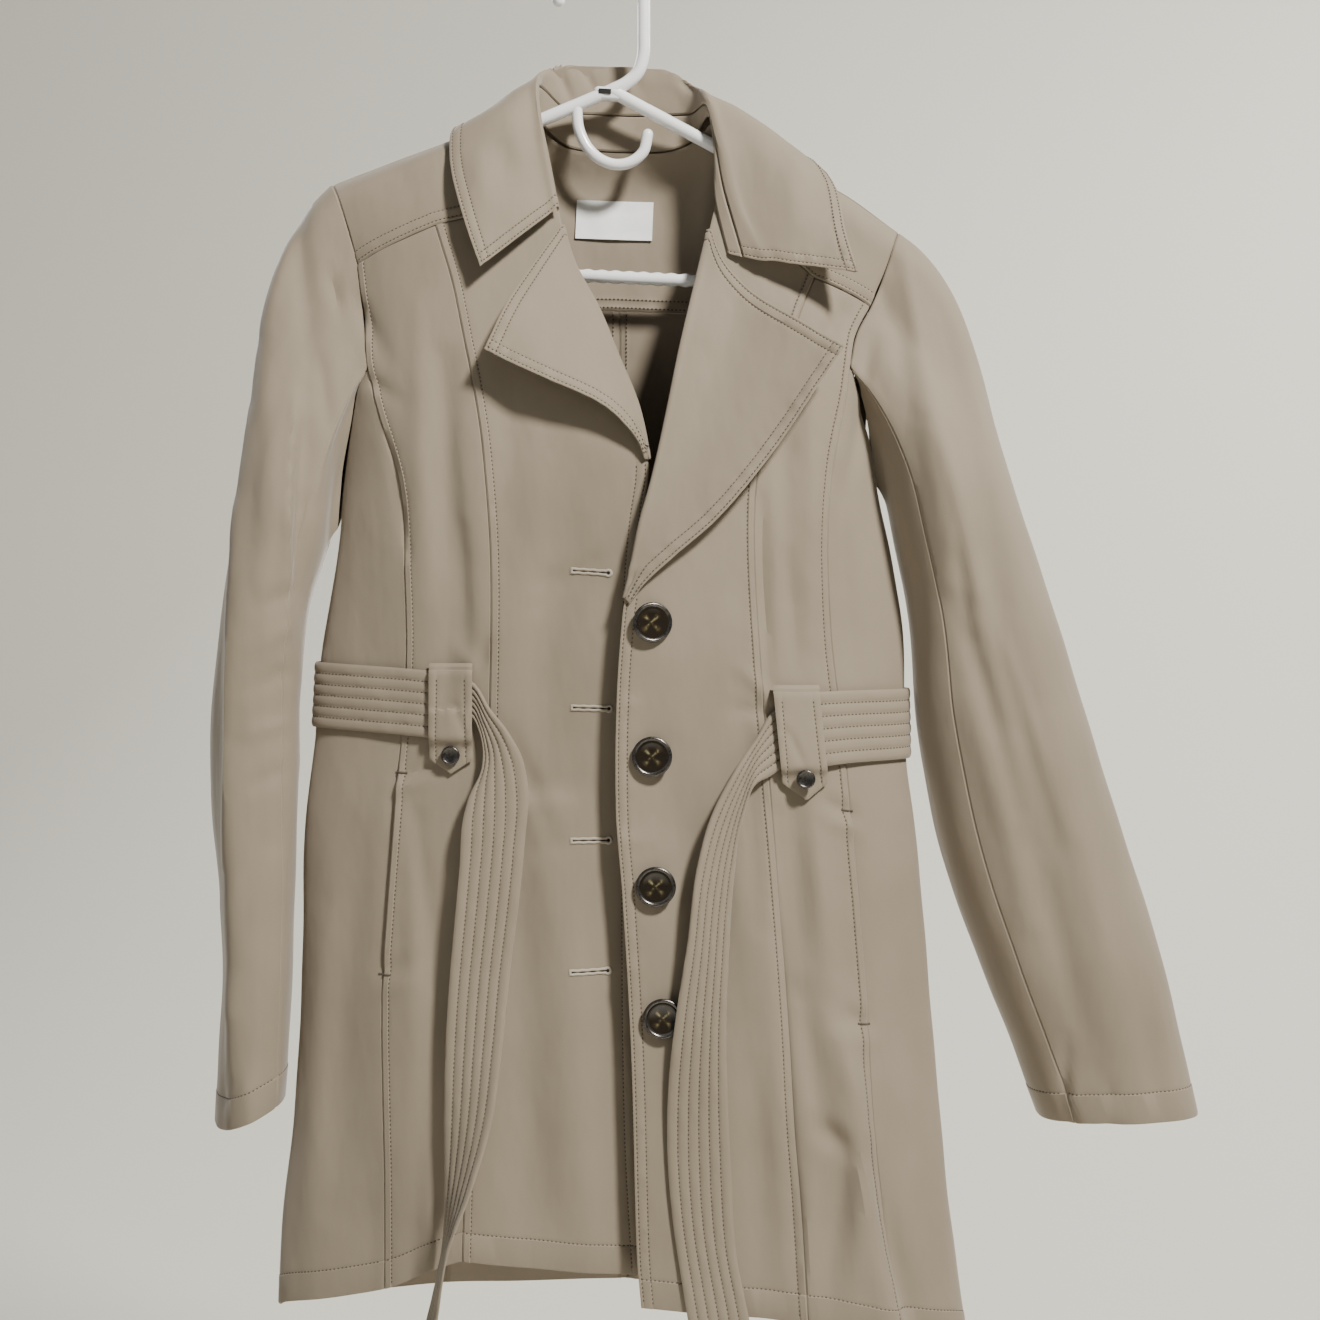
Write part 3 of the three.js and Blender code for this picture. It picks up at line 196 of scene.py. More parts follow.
def body_point(line, z):
    """Point of the body's outside: line 0 is the right front edge, 5 the centre back."""
    line, z = np.broadcast_arrays(np.asarray(line, float), np.asarray(z, float))
    i = np.clip(np.floor(line).astype(int), 0, LAST_LINE - 1)
    share = line - i
    columns = [np.array([read(rows, "z", axis, z) for rows in BODY_LINES]) for axis in "xy"]

    def smooth(values, u):
        before, start, end, after = (
            np.take_along_axis(values, np.clip(i + k, 0, LAST_LINE)[None], 0)[0]
            for k in (-1, 0, 1, 2))
        first = (end - before) / np.where(i == 0, 1, 2)
        second = (after - start) / np.where(i + 1 == LAST_LINE, 1, 2)
        return hermite(start, first, end, second, u)

    x, y = (smooth(values, share) for values in columns)
    dx, dy = (smooth(values, share + 0.01) - smooth(values, share - 0.01) for values in columns)
    size = np.hypot(dx, dy)
    depth = fold_depth(line, z)
    return np.stack([x + dy / size * depth, y - dx / size * depth, z], -1)


def body_normal(line, z):
    across = body_point(np.minimum(line + 0.04, LAST_LINE), z) - body_point(
        np.maximum(line - 0.04, 0), z)
    down = body_point(line, z - 2.0) - body_point(line, z + 2.0)
    return unit(np.cross(across, down))


def level(name, line):
    """Height of the panels' top, underarm or hem at a line of the body."""
    line = np.asarray(line, float)
    i = np.clip(np.floor(line).astype(int), 0, LAST_LINE - 1)
    share = line - i
    start, end = LEVELS[name][i], LEVELS[name][i + 1]
    straight = mix(start, end, share)
    if name != "underarm":
        return straight
    rising = start + (end - start) * share ** ARMHOLE_CURVE
    falling = end + (start - end) * (1 - share) ** ARMHOLE_CURVE
    curved = np.where(np.isin(i + 1, UNDERARMS), rising, straight)
    return np.where(np.isin(i, UNDERARMS), falling, curved)


def nearest_body_y(line, x, z):
    """Y of the body's front at an X, looked up around a line."""
    x, z = np.broadcast_arrays(np.asarray(x, float), np.asarray(z, float))
    low, high = np.full(x.shape, line - 1.0), np.full(x.shape, min(line + 1.0, LAST_LINE))
    rising = body_point(high, z)[..., 0] > body_point(low, z)[..., 0]
    for _ in range(20):
        middle = (low + high) / 2
        short = (body_point(middle, z)[..., 0] < x) == rising
        low, high = np.where(short, middle, low), np.where(short, high, middle)
    return body_point((low + high) / 2, z)[..., 1]


def body_grid(start, end, top="top"):
    """Points of a panel's outside between two lines, from a level down to the hem."""
    lines = np.linspace(end, start, 13)[None, :]
    down = np.linspace(0, 1, 61)[:, None]
    z = mix(level(top, lines), level("hem", lines), down)
    return body_point(np.broadcast_to(lines, z.shape), z)


# ---------------------------------------------------------------- finishes of edges

# rows: distances of the stitch rows from the edge; drop: how far the outside turns down there;
# welt: how much the layers inside a seam thicken the cloth between the edge and its last row;
# more: further distances at which the wall needs points.
FINISHES = {
    "seam": dict(rows=(), drop=0.9, welt=0.0),
    "tuck": dict(rows=(2.4,), drop=0.35, welt=0.3),
    "sewn": dict(rows=(5.6,), drop=0.9, welt=0.8),
    "double": dict(rows=(2.6, 9.4), drop=0.9, welt=0.8),
    "edge": dict(rows=(2.2, 8.6), drop=0.5, welt=0.5),
    "hem": dict(rows=(20.0,), drop=0.5, welt=0.5),
    "cuff": dict(rows=(22.0,), drop=0.5, welt=0.5),
    "fold": dict(rows=(), drop=0.5, welt=0.0),
    "roll": dict(rows=(), drop=0.0, welt=0.0, more=(0.7, 1.4, 2.1, 2.8, 3.5, 4.2, 5.2, 6.5)),
    "strap": dict(rows=(5.6,), drop=0.5, welt=0.3),
    "bar": dict(rows=(), drop=0.6, welt=0.0, more=(2.6, 4.4, 5.2, 6.0, 7.0, 9.0)),
}
GROOVE, GROOVE_WIDTH = 0.5, 0.75  # depth of a row of stitches, and how far it reaches
PUCKER, PUCKER_WIDTH = 0.24, 4.5
TURN_WIDTH = 0.8  # how far from an edge its outside turns down
THINNEST = 0.35
RIB, RIB_PITCH = 0.2, 4.3  # of the layers between two rows of stitches
EVERYWHERE = 1e3  # a height above the whole coat


def spots(name, room):
    """Distances from an edge at which its wall needs points."""
    rows = FINISHES[name]["rows"]
    near = {0.0, 0.45, 1.2, *FINISHES[name].get("more", ())}
    for row in rows:
        near |= {row - 0.9, row, row + 0.9}
    near.add(max(near) + 2.3)
    near = np.array(sorted(near))
    return near * min(1, 0.45 * room / near[-1])


def spread(grid, first, last, step):
    """The grid's rows run again with points close together at both ends."""
    size = np.mean([lengths(row)[-1] for row in grid])
    reach = spots(first, size)[-1] + spots(last, size)[-1]
    count = max(1, round((size - reach) / step))

    def places(length):
        start, end = spots(first, length), length - spots(last, length)[::-1]
        middle = np.linspace(start[-1], end[0], count + 1)[1:-1]
        return np.concatenate([start, middle, end])

    return np.array([along(row, places) for row in grid])


def grid_normals(grid):
    down = np.gradient(grid, axis=0)
    across = np.gradient(grid, axis=1)
    return unit(np.cross(down, across))


def runs(grid, axis):
    """Distance run along an axis of the grid, from its start to each point."""
    steps = np.linalg.norm(np.diff(grid, axis=axis), axis=-1)
    pad = [(1, 0), (0, 0)] if axis == 0 else [(0, 0), (1, 0)]
    return np.cumsum(np.pad(steps, pad), axis=axis)


def edge_distances(grid):
    """Distance of every point from each side, with the run along that side."""
    down, across = runs(grid, 0), runs(grid, 1)
    return {
        "left": (across, down), "right": (across[:, -1:] - across, down),
        "top": (down, across), "bottom": (down[-1:] - down, across),
    }


def ripple(run, seed):
    """Uneven waves along a row of stitches."""
    return (np.sin(run / 1.9 + seed) + np.sin(run / 2.9 + 2.1 * seed)
            + 0.8 * np.sin(run / 5.3 + 3.7 * seed)) / 2.8


def step_down(value, softness):
    """1 where the value is well below 0, and 0 where it is well above."""
    return 1 / (1 + np.exp(np.clip(value * softness, -50, 50)))


def finish_heights(grid, sides, below, ladder):
    """Heights and thickness along the sides; below names the Z under which a side is sewn."""
    height = np.zeros(grid.shape[:2])
    thickness = np.full(grid.shape[:2], CLOTH)
    for seed, (side, (distance, run)) in enumerate(edge_distances(grid).items()):
        finish = FINISHES[sides[side]]
        turn = finish["drop"] * bell(distance, TURN_WIDTH)
        height -= turn
        thickness -= turn * 1.15
        sewn = step_down(grid[..., 2] - below.get(side, EVERYWHERE), 1 / 3)
        if finish["rows"]:
            welt = sewn * finish["welt"] * step_down(distance - max(finish["rows"]), 2.2)
            height += welt
            thickness += welt
        for row in finish["rows"]:
            height -= sewn * GROOVE * bell(distance - row, GROOVE_WIDTH)
            wave = ripple(run + 40 * seed, seed + row)
            height += sewn * PUCKER * bell(distance - row, PUCKER_WIDTH) * wave
        if len(finish["rows"]) == 2 and ladder:
            # the layers between two rows stand up in small ribs
            near, far = finish["rows"]
            rib = np.sin(run * 2 * math.pi / RIB_PITCH + 0.8 * np.sin(run / 17))
            uneven = 0.55 + 0.45 * np.sin(run / 23 + seed) * np.sin(run / 9)
            height += ladder * RIB * rib * uneven * bell(distance - (near + far) / 2, 2.6)
    return height, np.maximum(thickness, THINNEST)


# ---------------------------------------------------------------- creases

# Soft troughs and ridges of the hung cloth, as straight strokes in the plane of the wall.
FRONT_CREASES = table(
    "x0 z0 x1 z1 width height",
    # collar: dents behind the fold, in the right wing and in the left one
    [-33, -70, -22, -98, 4, -5.5], [-13, -73, -4, -90, 3.5, -3.5], [60, -82, 71, -101, 4, -6],
    [24, -76, 30, -92, 5, -2.5], [-47, -98, -45, -138, 6, -4.5], [-72, -140, -62, -172, 10, -4.5],
    [-88, -150, -80, -190, 8, 3.5], [104, -120, 112, -176, 12, -4], [142, -150, 140, -200, 10, 4],
    # right front, from the shoulder and the bust
    [-128, -262, -122, -470, 8, 1.2], [-111, -300, -97, -490, 9, -2.6],
    [-60, -300, -64, -420, 12, -1.5], [-35, -380, -60, -520, 14, 1.6],
    [0, -440, -40, -476, 6, -1.0], [12, -455, -30, -520, 9, 1.0],
    # pulls at the right carrier and the pocket ends
    [-84, -520, -78, -502, 4, -1.4], [-88, -515, -100, -505, 4, 0.8],
    [-140, -596, -112, -584, 5, -1.4], [-146, -604, -120, -598, 5, 1.1],
    [-152, -735, -130, -722, 6, -1.2], [-150, -745, -128, -738, 6, 0.9],
    # pulls at the buttonholes
    [14, -452, 34, -448, 4, 1.0], [14, -548, 30, -540, 4, 0.9], [14, -640, 30, -636, 5, 0.9],
    [16, -731, 30, -724, 5, 0.9], [-22, -452, -44, -460, 7, -0.8], [-22, -640, -48, -650, 8, -0.8],
    # right skirt
    [-60, -600, -44, -900, 16, -2.6], [-110, -680, -104, -940, 12, -2.0],
    [-128, -640, -128, -900, 9, 1.6], [-20, -700, -6, -930, 15, 2.0],
    [-170, -640, -190, -900, 13, -1.6], [-196, -700, -208, -930, 10, 1.2],
    # left front, below the lapel and over the bust
    [92, -470, 60, -560, 12, 1.6], [84, -500, 44, -620, 13, -1.8],
    [130, -330, 134, -470, 8, -1.6], [150, -320, 152, -500, 7, 1.6],
    [134, -440, 140, -520, 6, -1.6], [60, -620, 96, -760, 18, -2.2],
    [170, -380, 182, -520, 7, -1.6],
    # pulls at the left carrier and the pocket ends
    [120, -538, 102, -520, 5, 1.3], [122, -548, 96, -548, 5, -1.2],
    [180, -622, 160, -612, 5, -1.4], [184, -634, 164, -626, 5, 1.1],
    [190, -770, 172, -760, 6, -1.2], [192, -782, 168, -776, 7, 1.0],
    # left skirt, with the deep wave beside the side seam
    [137, -600, 143, -745, 9, -3.2], [143, -745, 157, -838, 9, -3.6],
    [157, -838, 173, -856, 8, -3.2], [173, -856, 160, -950, 10, -3.2],
    [152, -640, 163, -740, 8, 1.8], [172, -780, 187, -850, 8, 3.0],
    [188, -850, 178, -960, 9, 2.2], [147, -870, 150, -960, 6, 1.6],
    [214, -640, 236, -960, 11, -1.8],
    [70, -790, 84, -950, 14, 2.2], [112, -800, 118, -950, 11, -2.0],
    # sleeves, long folds from the sleeve head
    [-221, -180, -204, -300, 8, -2.6], [-204, -300, -203, -400, 10, -2.6],
    [-221, -206, -240, -275, 5, 1.8], [-212, -330, -216, -520, 4, 2.2],
    [-203, -350, -207, -500, 7, -4.0], [-236, -240, -248, -420, 12, 2.4],
    [-248, -410, -252, -600, 9, 3.2], [-253, -580, -257, -760, 8, 3.0],
    [-257, -740, -259, -800, 7, 1.8], [-268, -440, -276, -680, 10, -2.6],
    [-216, -430, -226, -640, 9, -2.2], [-238, -470, -236, -820, 9, -2.0],
    [-212, -520, -206, -560, 7, 1.2], [-270, -700, -266, -830, 7, -1.6],
    [-232, -660, -244, -720, 9, 1.3],
    [244, -250, 284, -470, 14, -3.4], [226, -300, 250, -460, 9, 2.2],
    [272, -440, 318, -640, 13, -2.6], [318, -560, 372, -780, 12, 1.8],
    [306, -640, 350, -800, 12, -2.4], [262, -540, 306, -700, 8, 1.8],
    [250, -470, 280, -560, 8, -1.6], [330, -780, 336, -846, 5, -1.8],
    [336, -800, 341, -848, 4, 1.4], [362, -812, 360, -850, 6, -1.3],
    [386, -760, 398, -838, 9, -1.6],
    [-268, -812, -266, -846, 5, -1.4], [-246, -806, -244, -842, 6, 1.1],
    # sharper ones beside the armholes and along both sleeves
    [219, -215, 238, -340, 4.5, 1.1], [209, -225, 222, -340, 7, -1.5],
    [203, -238, 207, -268, 5, -1.8], [196, -284, 189, -316, 5, -1.8],
    [238, -340, 268, -470, 5, 1.5], [286, -500, 330, -640, 5, 1.4], [262, -500, 296, -620, 6, -1.6],
    [252, -440, 262, -500, 5, -1.5],
    [-245, -337, -255, -466, 4, 2.0], [-256, -470, -261, -657, 4, 2.0],
    [-236, -345, -246, -470, 6, -1.6], [-247, -480, -251, -660, 6, -1.6],
    [-192, -236, -186, -262, 4, -2.2], [-196, -300, -190, -350, 5, -1.8],
    [-202, -400, -214, -452, 5, -1.8], [-206, -462, -236, -478, 4.5, -1.6],
    [-210, -486, -240, -508, 5, 1.3], [-208, -516, -244, -536, 5, -1.6],
    [-214, -556, -246, -566, 4.5, 1.2], [-218, -590, -250, -606, 6, -1.3],
    # from the armholes into the fronts, and beside the seams over the bust
    [-176, -250, -150, -300, 6, -1.8], [-168, -310, -140, -330, 5, -1.3],
    [176, -262, 150, -300, 6, -1.6], [190, -330, 176, -400, 5, -1.7],
    [-150, -350, -134, -440, 4, -1.3], [-96, -420, -92, -508, 5, -1.3],
    [116, -400, 119, -530, 5, -2.6], [127, -620, 141, -950, 6, -2.6],
    [104, -560, 112, -700, 6, -1.4],
    [-128, -620, -116, -740, 5, -1.4], [-64, -560, -30, -640, 7, -1.1])
BACK_CREASES = table(
    "x0 z0 x1 z1 width height",
    [-96, -170, -70, -330, 15, -2.2], [-130, -190, -124, -350, 11, 1.6],
    [110, -190, 90, -340, 15, -2.2], [150, -210, 146, -350, 11, 1.6],
    [10, -300, 16, -470, 17, 1.8], [-50, -420, -40, -520, 14, -2.0],
    [66, -410, 58, -520, 13, -2.0], [-84, -480, -20, -508, 8, -1.2],
    [110, -490, 40, -512, 8, -1.2], [-30, -590, -52, -930, 16, -2.6],
    [-74, -600, -92, -940, 13, 2.2], [50, -590, 72, -900, 15, -2.4],
    [96, -620, 118, -960, 14, 2.4], [14, -660, 20, -940, 12, 1.8],
    [-160, -620, -178, -930, 12, -2.4], [-196, -600, -206, -930, 9, 1.8],
    [184, -600, 206, -950, 12, -2.4], [214, -640, 230, -940, 9, 1.8],
    [-212, -220, -206, -430, 12, -2.4], [-240, -300, -262, -520, 11, 1.8],
    [-236, -500, -246, -700, 12, -2.0], [-256, -640, -250, -820, 10, 1.6],
    [-214, -540, -262, -600, 9, -1.6], [-216, -580, -256, -628, 8, 1.2],
    [240, -260, 262, -470, 13, -2.4], [276, -330, 318, -560, 12, 1.8],
    [300, -520, 340, -720, 13, -2.2], [360, -600, 394, -800, 11, 1.8],
    [262, -560, 340, -590, 9, -1.6], [270, -600, 350, -640, 9, 1.3])


CREASED = 1.65  # depth of the creases over what the tables say


def crease_heights(grid, normals):
    """Height of the creases at every point, on the side of the coat that it faces."""
    height = np.zeros(grid.shape[:2])
    facing = normals[..., 1]
    flat = grid[..., [0, 2]]
    for strokes, side in ((FRONT_CREASES, -1), (BACK_CREASES, 1)):
        share = np.clip(facing * side * 2.5, 0, 1)
        for x0, z0, x1, z1, width, rise in zip(*strokes.values()):
            start, way = np.array([x0, z0]), np.array([x1 - x0, z1 - z0])
            t = (flat - start) @ way / (way @ way)
            off = np.linalg.norm(flat - start - np.clip(t, 0, 1)[..., None] * way, axis=-1)
            swell = 0.4 + 0.6 * np.sin(math.pi * np.clip(t, 0, 1) ** 0.8)
            height += CREASED * share * rise * swell * bell(off, width)
    return height


def unevenness(grid):
    """Slow waves that no hung cloth is free of."""
    x, z = grid[..., 0], grid[..., 2]
    side = np.where(grid[..., 1] > -40, 1.7, 0.0)
    return (0.55 * np.sin(x / 23 + z / 71 + side) + 0.5 * np.sin(x / 37 - z / 53 + 2 + side)
            + 0.22 * np.sin(x / 9.5 + z / 30 + 1 + side) + 0.16 * np.sin(z / 12 - x / 17 + side))


# ---------------------------------------------------------------- meshes

collection = bpy.context.scene.collection


def mesh_object(name, vertices, faces, material, slot, node=None, angle=32):
    """A piece of the part, in place of a node of the model where one is named."""
    mesh = bpy.data.meshes.new(name)
    mesh.from_pydata([tuple(v) for v in np.asarray(vertices) * MM], [], [tuple(f) for f in faces])
    mesh.materials.append(material)
    mesh.polygons.foreach_set("use_smooth", [True] * len(mesh.polygons))
    mesh.set_sharp_from_angle(angle=math.radians(angle))
    mesh.update()
    thing = bpy.data.objects.new(name, mesh)
    collection.objects.link(thing)
    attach(thing, "root")
    if node:
        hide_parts(node)
    return thing


def grid_faces(rows, columns, offset=0, flip=False):
    i, j = np.meshgrid(np.arange(rows - 1), np.arange(columns - 1), indexing="ij")
    a = (offset + i * columns + j).ravel()
    quads = np.stack([a, a + columns, a + columns + 1, a + 1], -1)
    return quads[:, ::-1] if flip else quads


def wall(outer, inner):
    """Vertices and faces of a closed wall between two grids."""
    rows, columns = outer.shape[:2]
    layer = rows * columns
    at = np.arange(layer).reshape(rows, columns)
    rim = np.concatenate([at[0, :-1], at[:-1, -1], at[-1, :0:-1], at[:0:-1, 0]])
    after = np.roll(rim, -1)
    sides = np.stack([rim, after, after + layer, rim + layer], -1)
    faces = np.vstack([
        grid_faces(rows, columns), grid_faces(rows, columns, layer, flip=True), sides])
    return np.vstack([outer.reshape(-1, 3), inner.reshape(-1, 3)]), faces


stitch_groups = {}
surfaces = {}  # of the pieces of cloth, by node
VIEWER_Y = -200  # in front of the whole coat


def surface_at(node, x, z, start_y=VIEWER_Y):
    """Where a line towards the wall meets a piece of cloth, or None where it misses."""
    place = surfaces[node].ray_cast(Vector((x, start_y, z)), Vector((0, 1, 0)))[0]
    return None if place is None else np.array(place)


def stitch_row(group, points, normals):
    """Adds a row of stitches along a line of points."""
    run = lengths(points)
    count = int((run[-1] - 2 * ROW_END) / PITCH)
    if count < 1:
        return
    at = ROW_END + PITCH * (np.arange(count) + 0.5)
    place, out, way = (
        np.stack([np.interp(at, run, values[:, k]) for k in range(3)], -1)
        for values in (points, normals, np.gradient(points, run, axis=0)))
    stitch_groups.setdefault(group, []).append((place, unit(way), unit(out)))


def make_stitches(group, material):
    """One mesh of all the stitches of a group: short spindles, sunk at both ends."""
    place, way, out = (np.vstack(part) for part in zip(*stitch_groups[group]))
    side = np.cross(way, out)
    length, thick = STITCH
    ring = [(0, 1), (1, 0.2), (0, -0.8), (-1, 0.2)]
    sunk = -0.25
    middle = [(share * length, thick * a, thick * b) for share in (-0.32, 0.32) for a, b in ring]
    shape = np.array([(-length / 2, 0, sunk), *middle, (length / 2, 0, sunk)])
    ends = [(0, 1 + (k + 1) % 4, 1 + k) for k in range(4)]
    ends += [(9, 5 + k, 5 + (k + 1) % 4) for k in range(4)]
    sides = [(1 + k, 1 + (k + 1) % 4, 5 + (k + 1) % 4, 5 + k) for k in range(4)]
    axes = np.stack([way, side, out], 1)
    vertices = (shape @ axes + place[:, None]).reshape(-1, 3)
    faces = [tuple(v + 10 * n for v in face) for n in range(len(place)) for face in ends + sides]
    mesh_object(f"stitching_{group}", vertices, faces, material, "shell_cloth", angle=60)


SHARED_WIDTH = 6


def cloth(name, grid, sides, group, creased=1.0, shape=None, inside_rows=(),
          step=(STEP, STEP), below=None, ladder=0.0, lines=None):
    """A piece of the coat: a closed wall on a grid of its outside, finished along its sides.

    group names its stitching; below, the Z under which a side is sewn; lines, the lines of
    the body on which a side lies; ladder, how high the ribs between two rows stand.
    """
    below = below or {}
    grid = spread(grid, sides["left"], sides["right"], step[1])
    grid = spread(grid.transpose(1, 0, 2), sides["top"], sides["bottom"], step[0]).transpose(1, 0, 2)
    normals = grid_normals(grid)
    for side, line in (lines or {}).items():
        # two panels that meet on a line of the body move along the same normals there
        nearness = bell(edge_distances(grid)[side][0], SHARED_WIDTH)[..., None]
        normals = unit(mix(normals, body_normal(line, grid[..., 2]), nearness))
    height, thickness = finish_heights(grid, sides, below, ladder)
    height = height + creased * (crease_heights(grid, normals) + unevenness(grid))
    if shape is not None:
        height = height + shape(grid)
    outer = grid + normals * height[..., None]
    normals = grid_normals(outer)
    inner = outer - normals * thickness[..., None]
    vertices, faces = wall(outer, inner)
    piece = mesh_object(f"{name}_cloth", vertices, faces, cloth_material, "shell_cloth", name)
    surfaces[name] = BVHTree.FromPolygons(vertices.tolist(), faces.tolist())
    for side in ("left", "right", "top", "bottom"):
        for row in FINISHES[sides[side]]["rows"]:
            k = int(np.argmin(abs(spots(sides[side], EVERYWHERE) - row)))
            line = {"left": np.s_[:, k], "right": np.s_[:, -1 - k],
                    "top": np.s_[k], "bottom": np.s_[-1 - k]}[side]
            sewn = outer[line][:, 2] < below.get(side, EVERYWHERE)
            if sewn.sum() > 1:
                stitch_row(group, outer[line][sewn], normals[line][sewn])
            if side in inside_rows:
                stitch_row(group, inner[line], -normals[line])


# ---------------------------------------------------------------- materials


def material(name, colour, roughness, metallic=0.0):
    made = bpy.data.materials.new(name)
    made.use_nodes = True
    shader = made.node_tree.nodes["Principled BSDF"]
    shader.inputs["Base Color"].default_value = (*colour, 1)
    shader.inputs["Roughness"].default_value = roughness
    shader.inputs["Metallic"].default_value = metallic
    return made, made.node_tree, shader


def add_node(tree, kind, **settings):
    node = tree.nodes.new(kind)
    for key, value in settings.items():
        if key in node.inputs:
            node.inputs[key].default_value = value
        else:
            setattr(node, key, value)
    return node


def place_input(tree):
    return add_node(tree, "ShaderNodeTexCoord").outputs["Object"]


def noise(tree, place, scale, detail=2.0, roughness=0.5):
    node = add_node(tree, "ShaderNodeTexNoise", Scale=scale, Detail=detail, Roughness=roughness)
    tree.links.new(place, node.inputs["Vector"])
    return node.outputs["Fac"]


def ramp(tree, value, *stops):
    node = add_node(tree, "ShaderNodeValToRGB")
    elements = node.color_ramp.elements
    while len(elements) < len(stops):
        elements.new(0.5)
    for element, (at, colour) in zip(elements, stops):
        element.position = at
        element.color = (*colour, 1)
    tree.links.new(value, node.inputs["Fac"])
    return node.outputs["Color"]


def mottle(tree, shader, socket, place, scale, detail, low, high):
    """Lets a socket vary softly between two colours, or two greys given as one number."""
    low, high = (end if isinstance(end, tuple) else (end,) * 3 for end in (low, high))
    tree.links.new(ramp(tree, noise(tree, place, scale, detail), (0.3, low), (0.7, high)),
                   shader.inputs[socket])


def stretched(tree, place, scale):
    node = add_node(tree, "ShaderNodeMapping")
    node.inputs["Scale"].default_value = scale
    tree.links.new(place, node.inputs["Vector"])
    return node.outputs["Vector"]


def bump(tree, shader, height, strength, distance):
    node = add_node(tree, "ShaderNodeBump", Strength=strength, Distance=distance)
    tree.links.new(height, node.inputs["Height"])
    tree.links.new(node.outputs["Normal"], shader.inputs["Normal"])


def cloth_look(name, dark, light):
    made, tree, shader = material(name, light, 0.78)
    shader.inputs["Sheen Weight"].default_value = 0.25
    shader.inputs["Sheen Roughness"].default_value = 0.45
    shader.inputs["Specular IOR Level"].default_value = 0.32
    place = place_input(tree)
    mottle(tree, shader, "Base Color", place, 9.0, 3, dark, light)
    # the weave's grain over small dents that run mostly downwards
    dents = noise(tree, stretched(tree, place, (1, 1, 0.45)), 24.0, 3, 0.45)
    grain = noise(tree, place, 1500.0, 2, 0.7)
    both = add_node(tree, "ShaderNodeMath", operation="MULTIPLY_ADD")
    both.inputs[1].default_value = 0.012
    tree.links.new(grain, both.inputs[0])
    tree.links.new(dents, both.inputs[2])
    bump(tree, shader, both.outputs[0], 1.0, 0.0032)
    return made


cloth_material = cloth_look("shell_cloth", (0.212, 0.171, 0.121), (0.242, 0.198, 0.143))
# painted shade: the thread itself is cloth-coloured, and this dark colour stands for the shade in the
# stitches' needle holes and grooves
stitch_shade_material = cloth_look("thread", (0.05, 0.037, 0.025), (0.085, 0.064, 0.044))
bead_material = cloth_look("buttonhole_thread", (0.33, 0.28, 0.21), (0.42, 0.36, 0.28))

# ---------------------------------------------------------------- body panels

POCKETS = {"right": (-593, -733), "left": (-620, -769)}  # heights of the pocket openings
POCKET_LIFT = 1.6  # how far one edge of the mouth stands proud, and the other lies back


POCKET_WIDTH = 9  # how far from the seam that reaches
POCKET_ENDS = 5  # how softly it starts and stops


def pocket_shape(side, lift, edge):
    """The pocket's mouth along one edge of a panel."""
    top, bottom = POCKETS[side]

    def shape(grid):
        z = grid[..., 2]
        below_top = 1 / (1 + np.exp((z - top) / POCKET_ENDS))
        over_bottom = 1 + np.exp((bottom - z) / POCKET_ENDS)
        return lift * (below_top / over_bottom) * bell(edge_distances(grid)[edge][0], POCKET_WIDTH)
    return shape


def panel(name, start, end, left="seam", right="seam", top="top", shape=None,
          inside_rows=(), below=None):
    """A body panel between two lines of the body."""
    sides = {"left": left, "right": right, "top": "seam", "bottom": "hem"}
    cloth(name, body_grid(start, end, top), sides, "body", shape=shape,
          inside_rows=inside_rows, below=below, lines={"left": end, "right": start})


panel("front_centre_right", 0, 1, left="sewn", right="edge",
      below={"right": -372})
panel("front_middle_right", 1, 2, left="sewn",
      shape=pocket_shape("right", POCKET_LIFT, "left"))
panel("front_side_right", 2, 3, top="underarm",
      shape=pocket_shape("right", -POCKET_LIFT, "right"))
panel("back_side_right", 3, 4, top="underarm")
panel("back_centre_right", 4, 5, left="sewn", right="sewn", inside_rows=("left",))
panel("back_centre_left", 5, 6, left="sewn", right="sewn", inside_rows=("right",))
panel("back_side_left", 6, 7, top="underarm")
panel("front_side_left", 7, 8, top="underarm",
      shape=pocket_shape("left", -POCKET_LIFT, "left"))
panel("front_middle_left", 8, 9, right="sewn",
      shape=pocket_shape("left", POCKET_LIFT, "right"))
panel("front_centre_left", 9, 10, left="edge", right="sewn",
      below={"left": -468})

# ---------------------------------------------------------------- yokes

# the shoulders' ridges lie on the hanger, from the neck outwards
RIDGES = {
    "right": table("x y z", [-49, -46, -106], [-75, -45, -118], [-111, -45, -134],
                   [-144, -45, -146], [-195.5, -45, -166]),
    "left": table("x y z", [82, -46, -121], [117, -45, -142], [150, -45, -158],
                  [176, -45, -170.5], [218.5, -45, -200.5]),
}
BACK_NECK = table("x y z", [-49, -46, -106], [-45, -33, -118], [-24, -28, -134], [0, -26, -136.5],
                  [26, -26, -137.5], [50, -28, -137], [67, -32, -132], [82, -46, -121])
FRONT_NECKS = {
    "right": table("x y z", [-49, -46, -106], [-47, -56, -116], [-42, -58, -140], [-31, -58, -180]),
    "left": table("x y z", [82, -46, -121], [83, -56, -131], [85, -57, -150], [85, -58, -180]),
}
FRONT_ARMHOLES = {
    "right": table("x y z", [-195.5, -45, -166], [-190, -57, -176], [-182, -60, -200],
                   [-174, -61, -228]),
    "left": table("x y z", [218.5, -45, -200.5], [214, -56, -211], [206, -60, -234],
                  [196, -61, -258]),
}
BACK_ARMHOLES = {
    "right": table("x y z", [-195.5, -45, -166], [-190, -33, -177], [-181, -30, -208],
                   [-174, -29, -250]),
    "left": table("x y z", [218.5, -45, -200.5], [213, -33, -211], [203, -30, -234],
                  [196, -29, -262]),
}


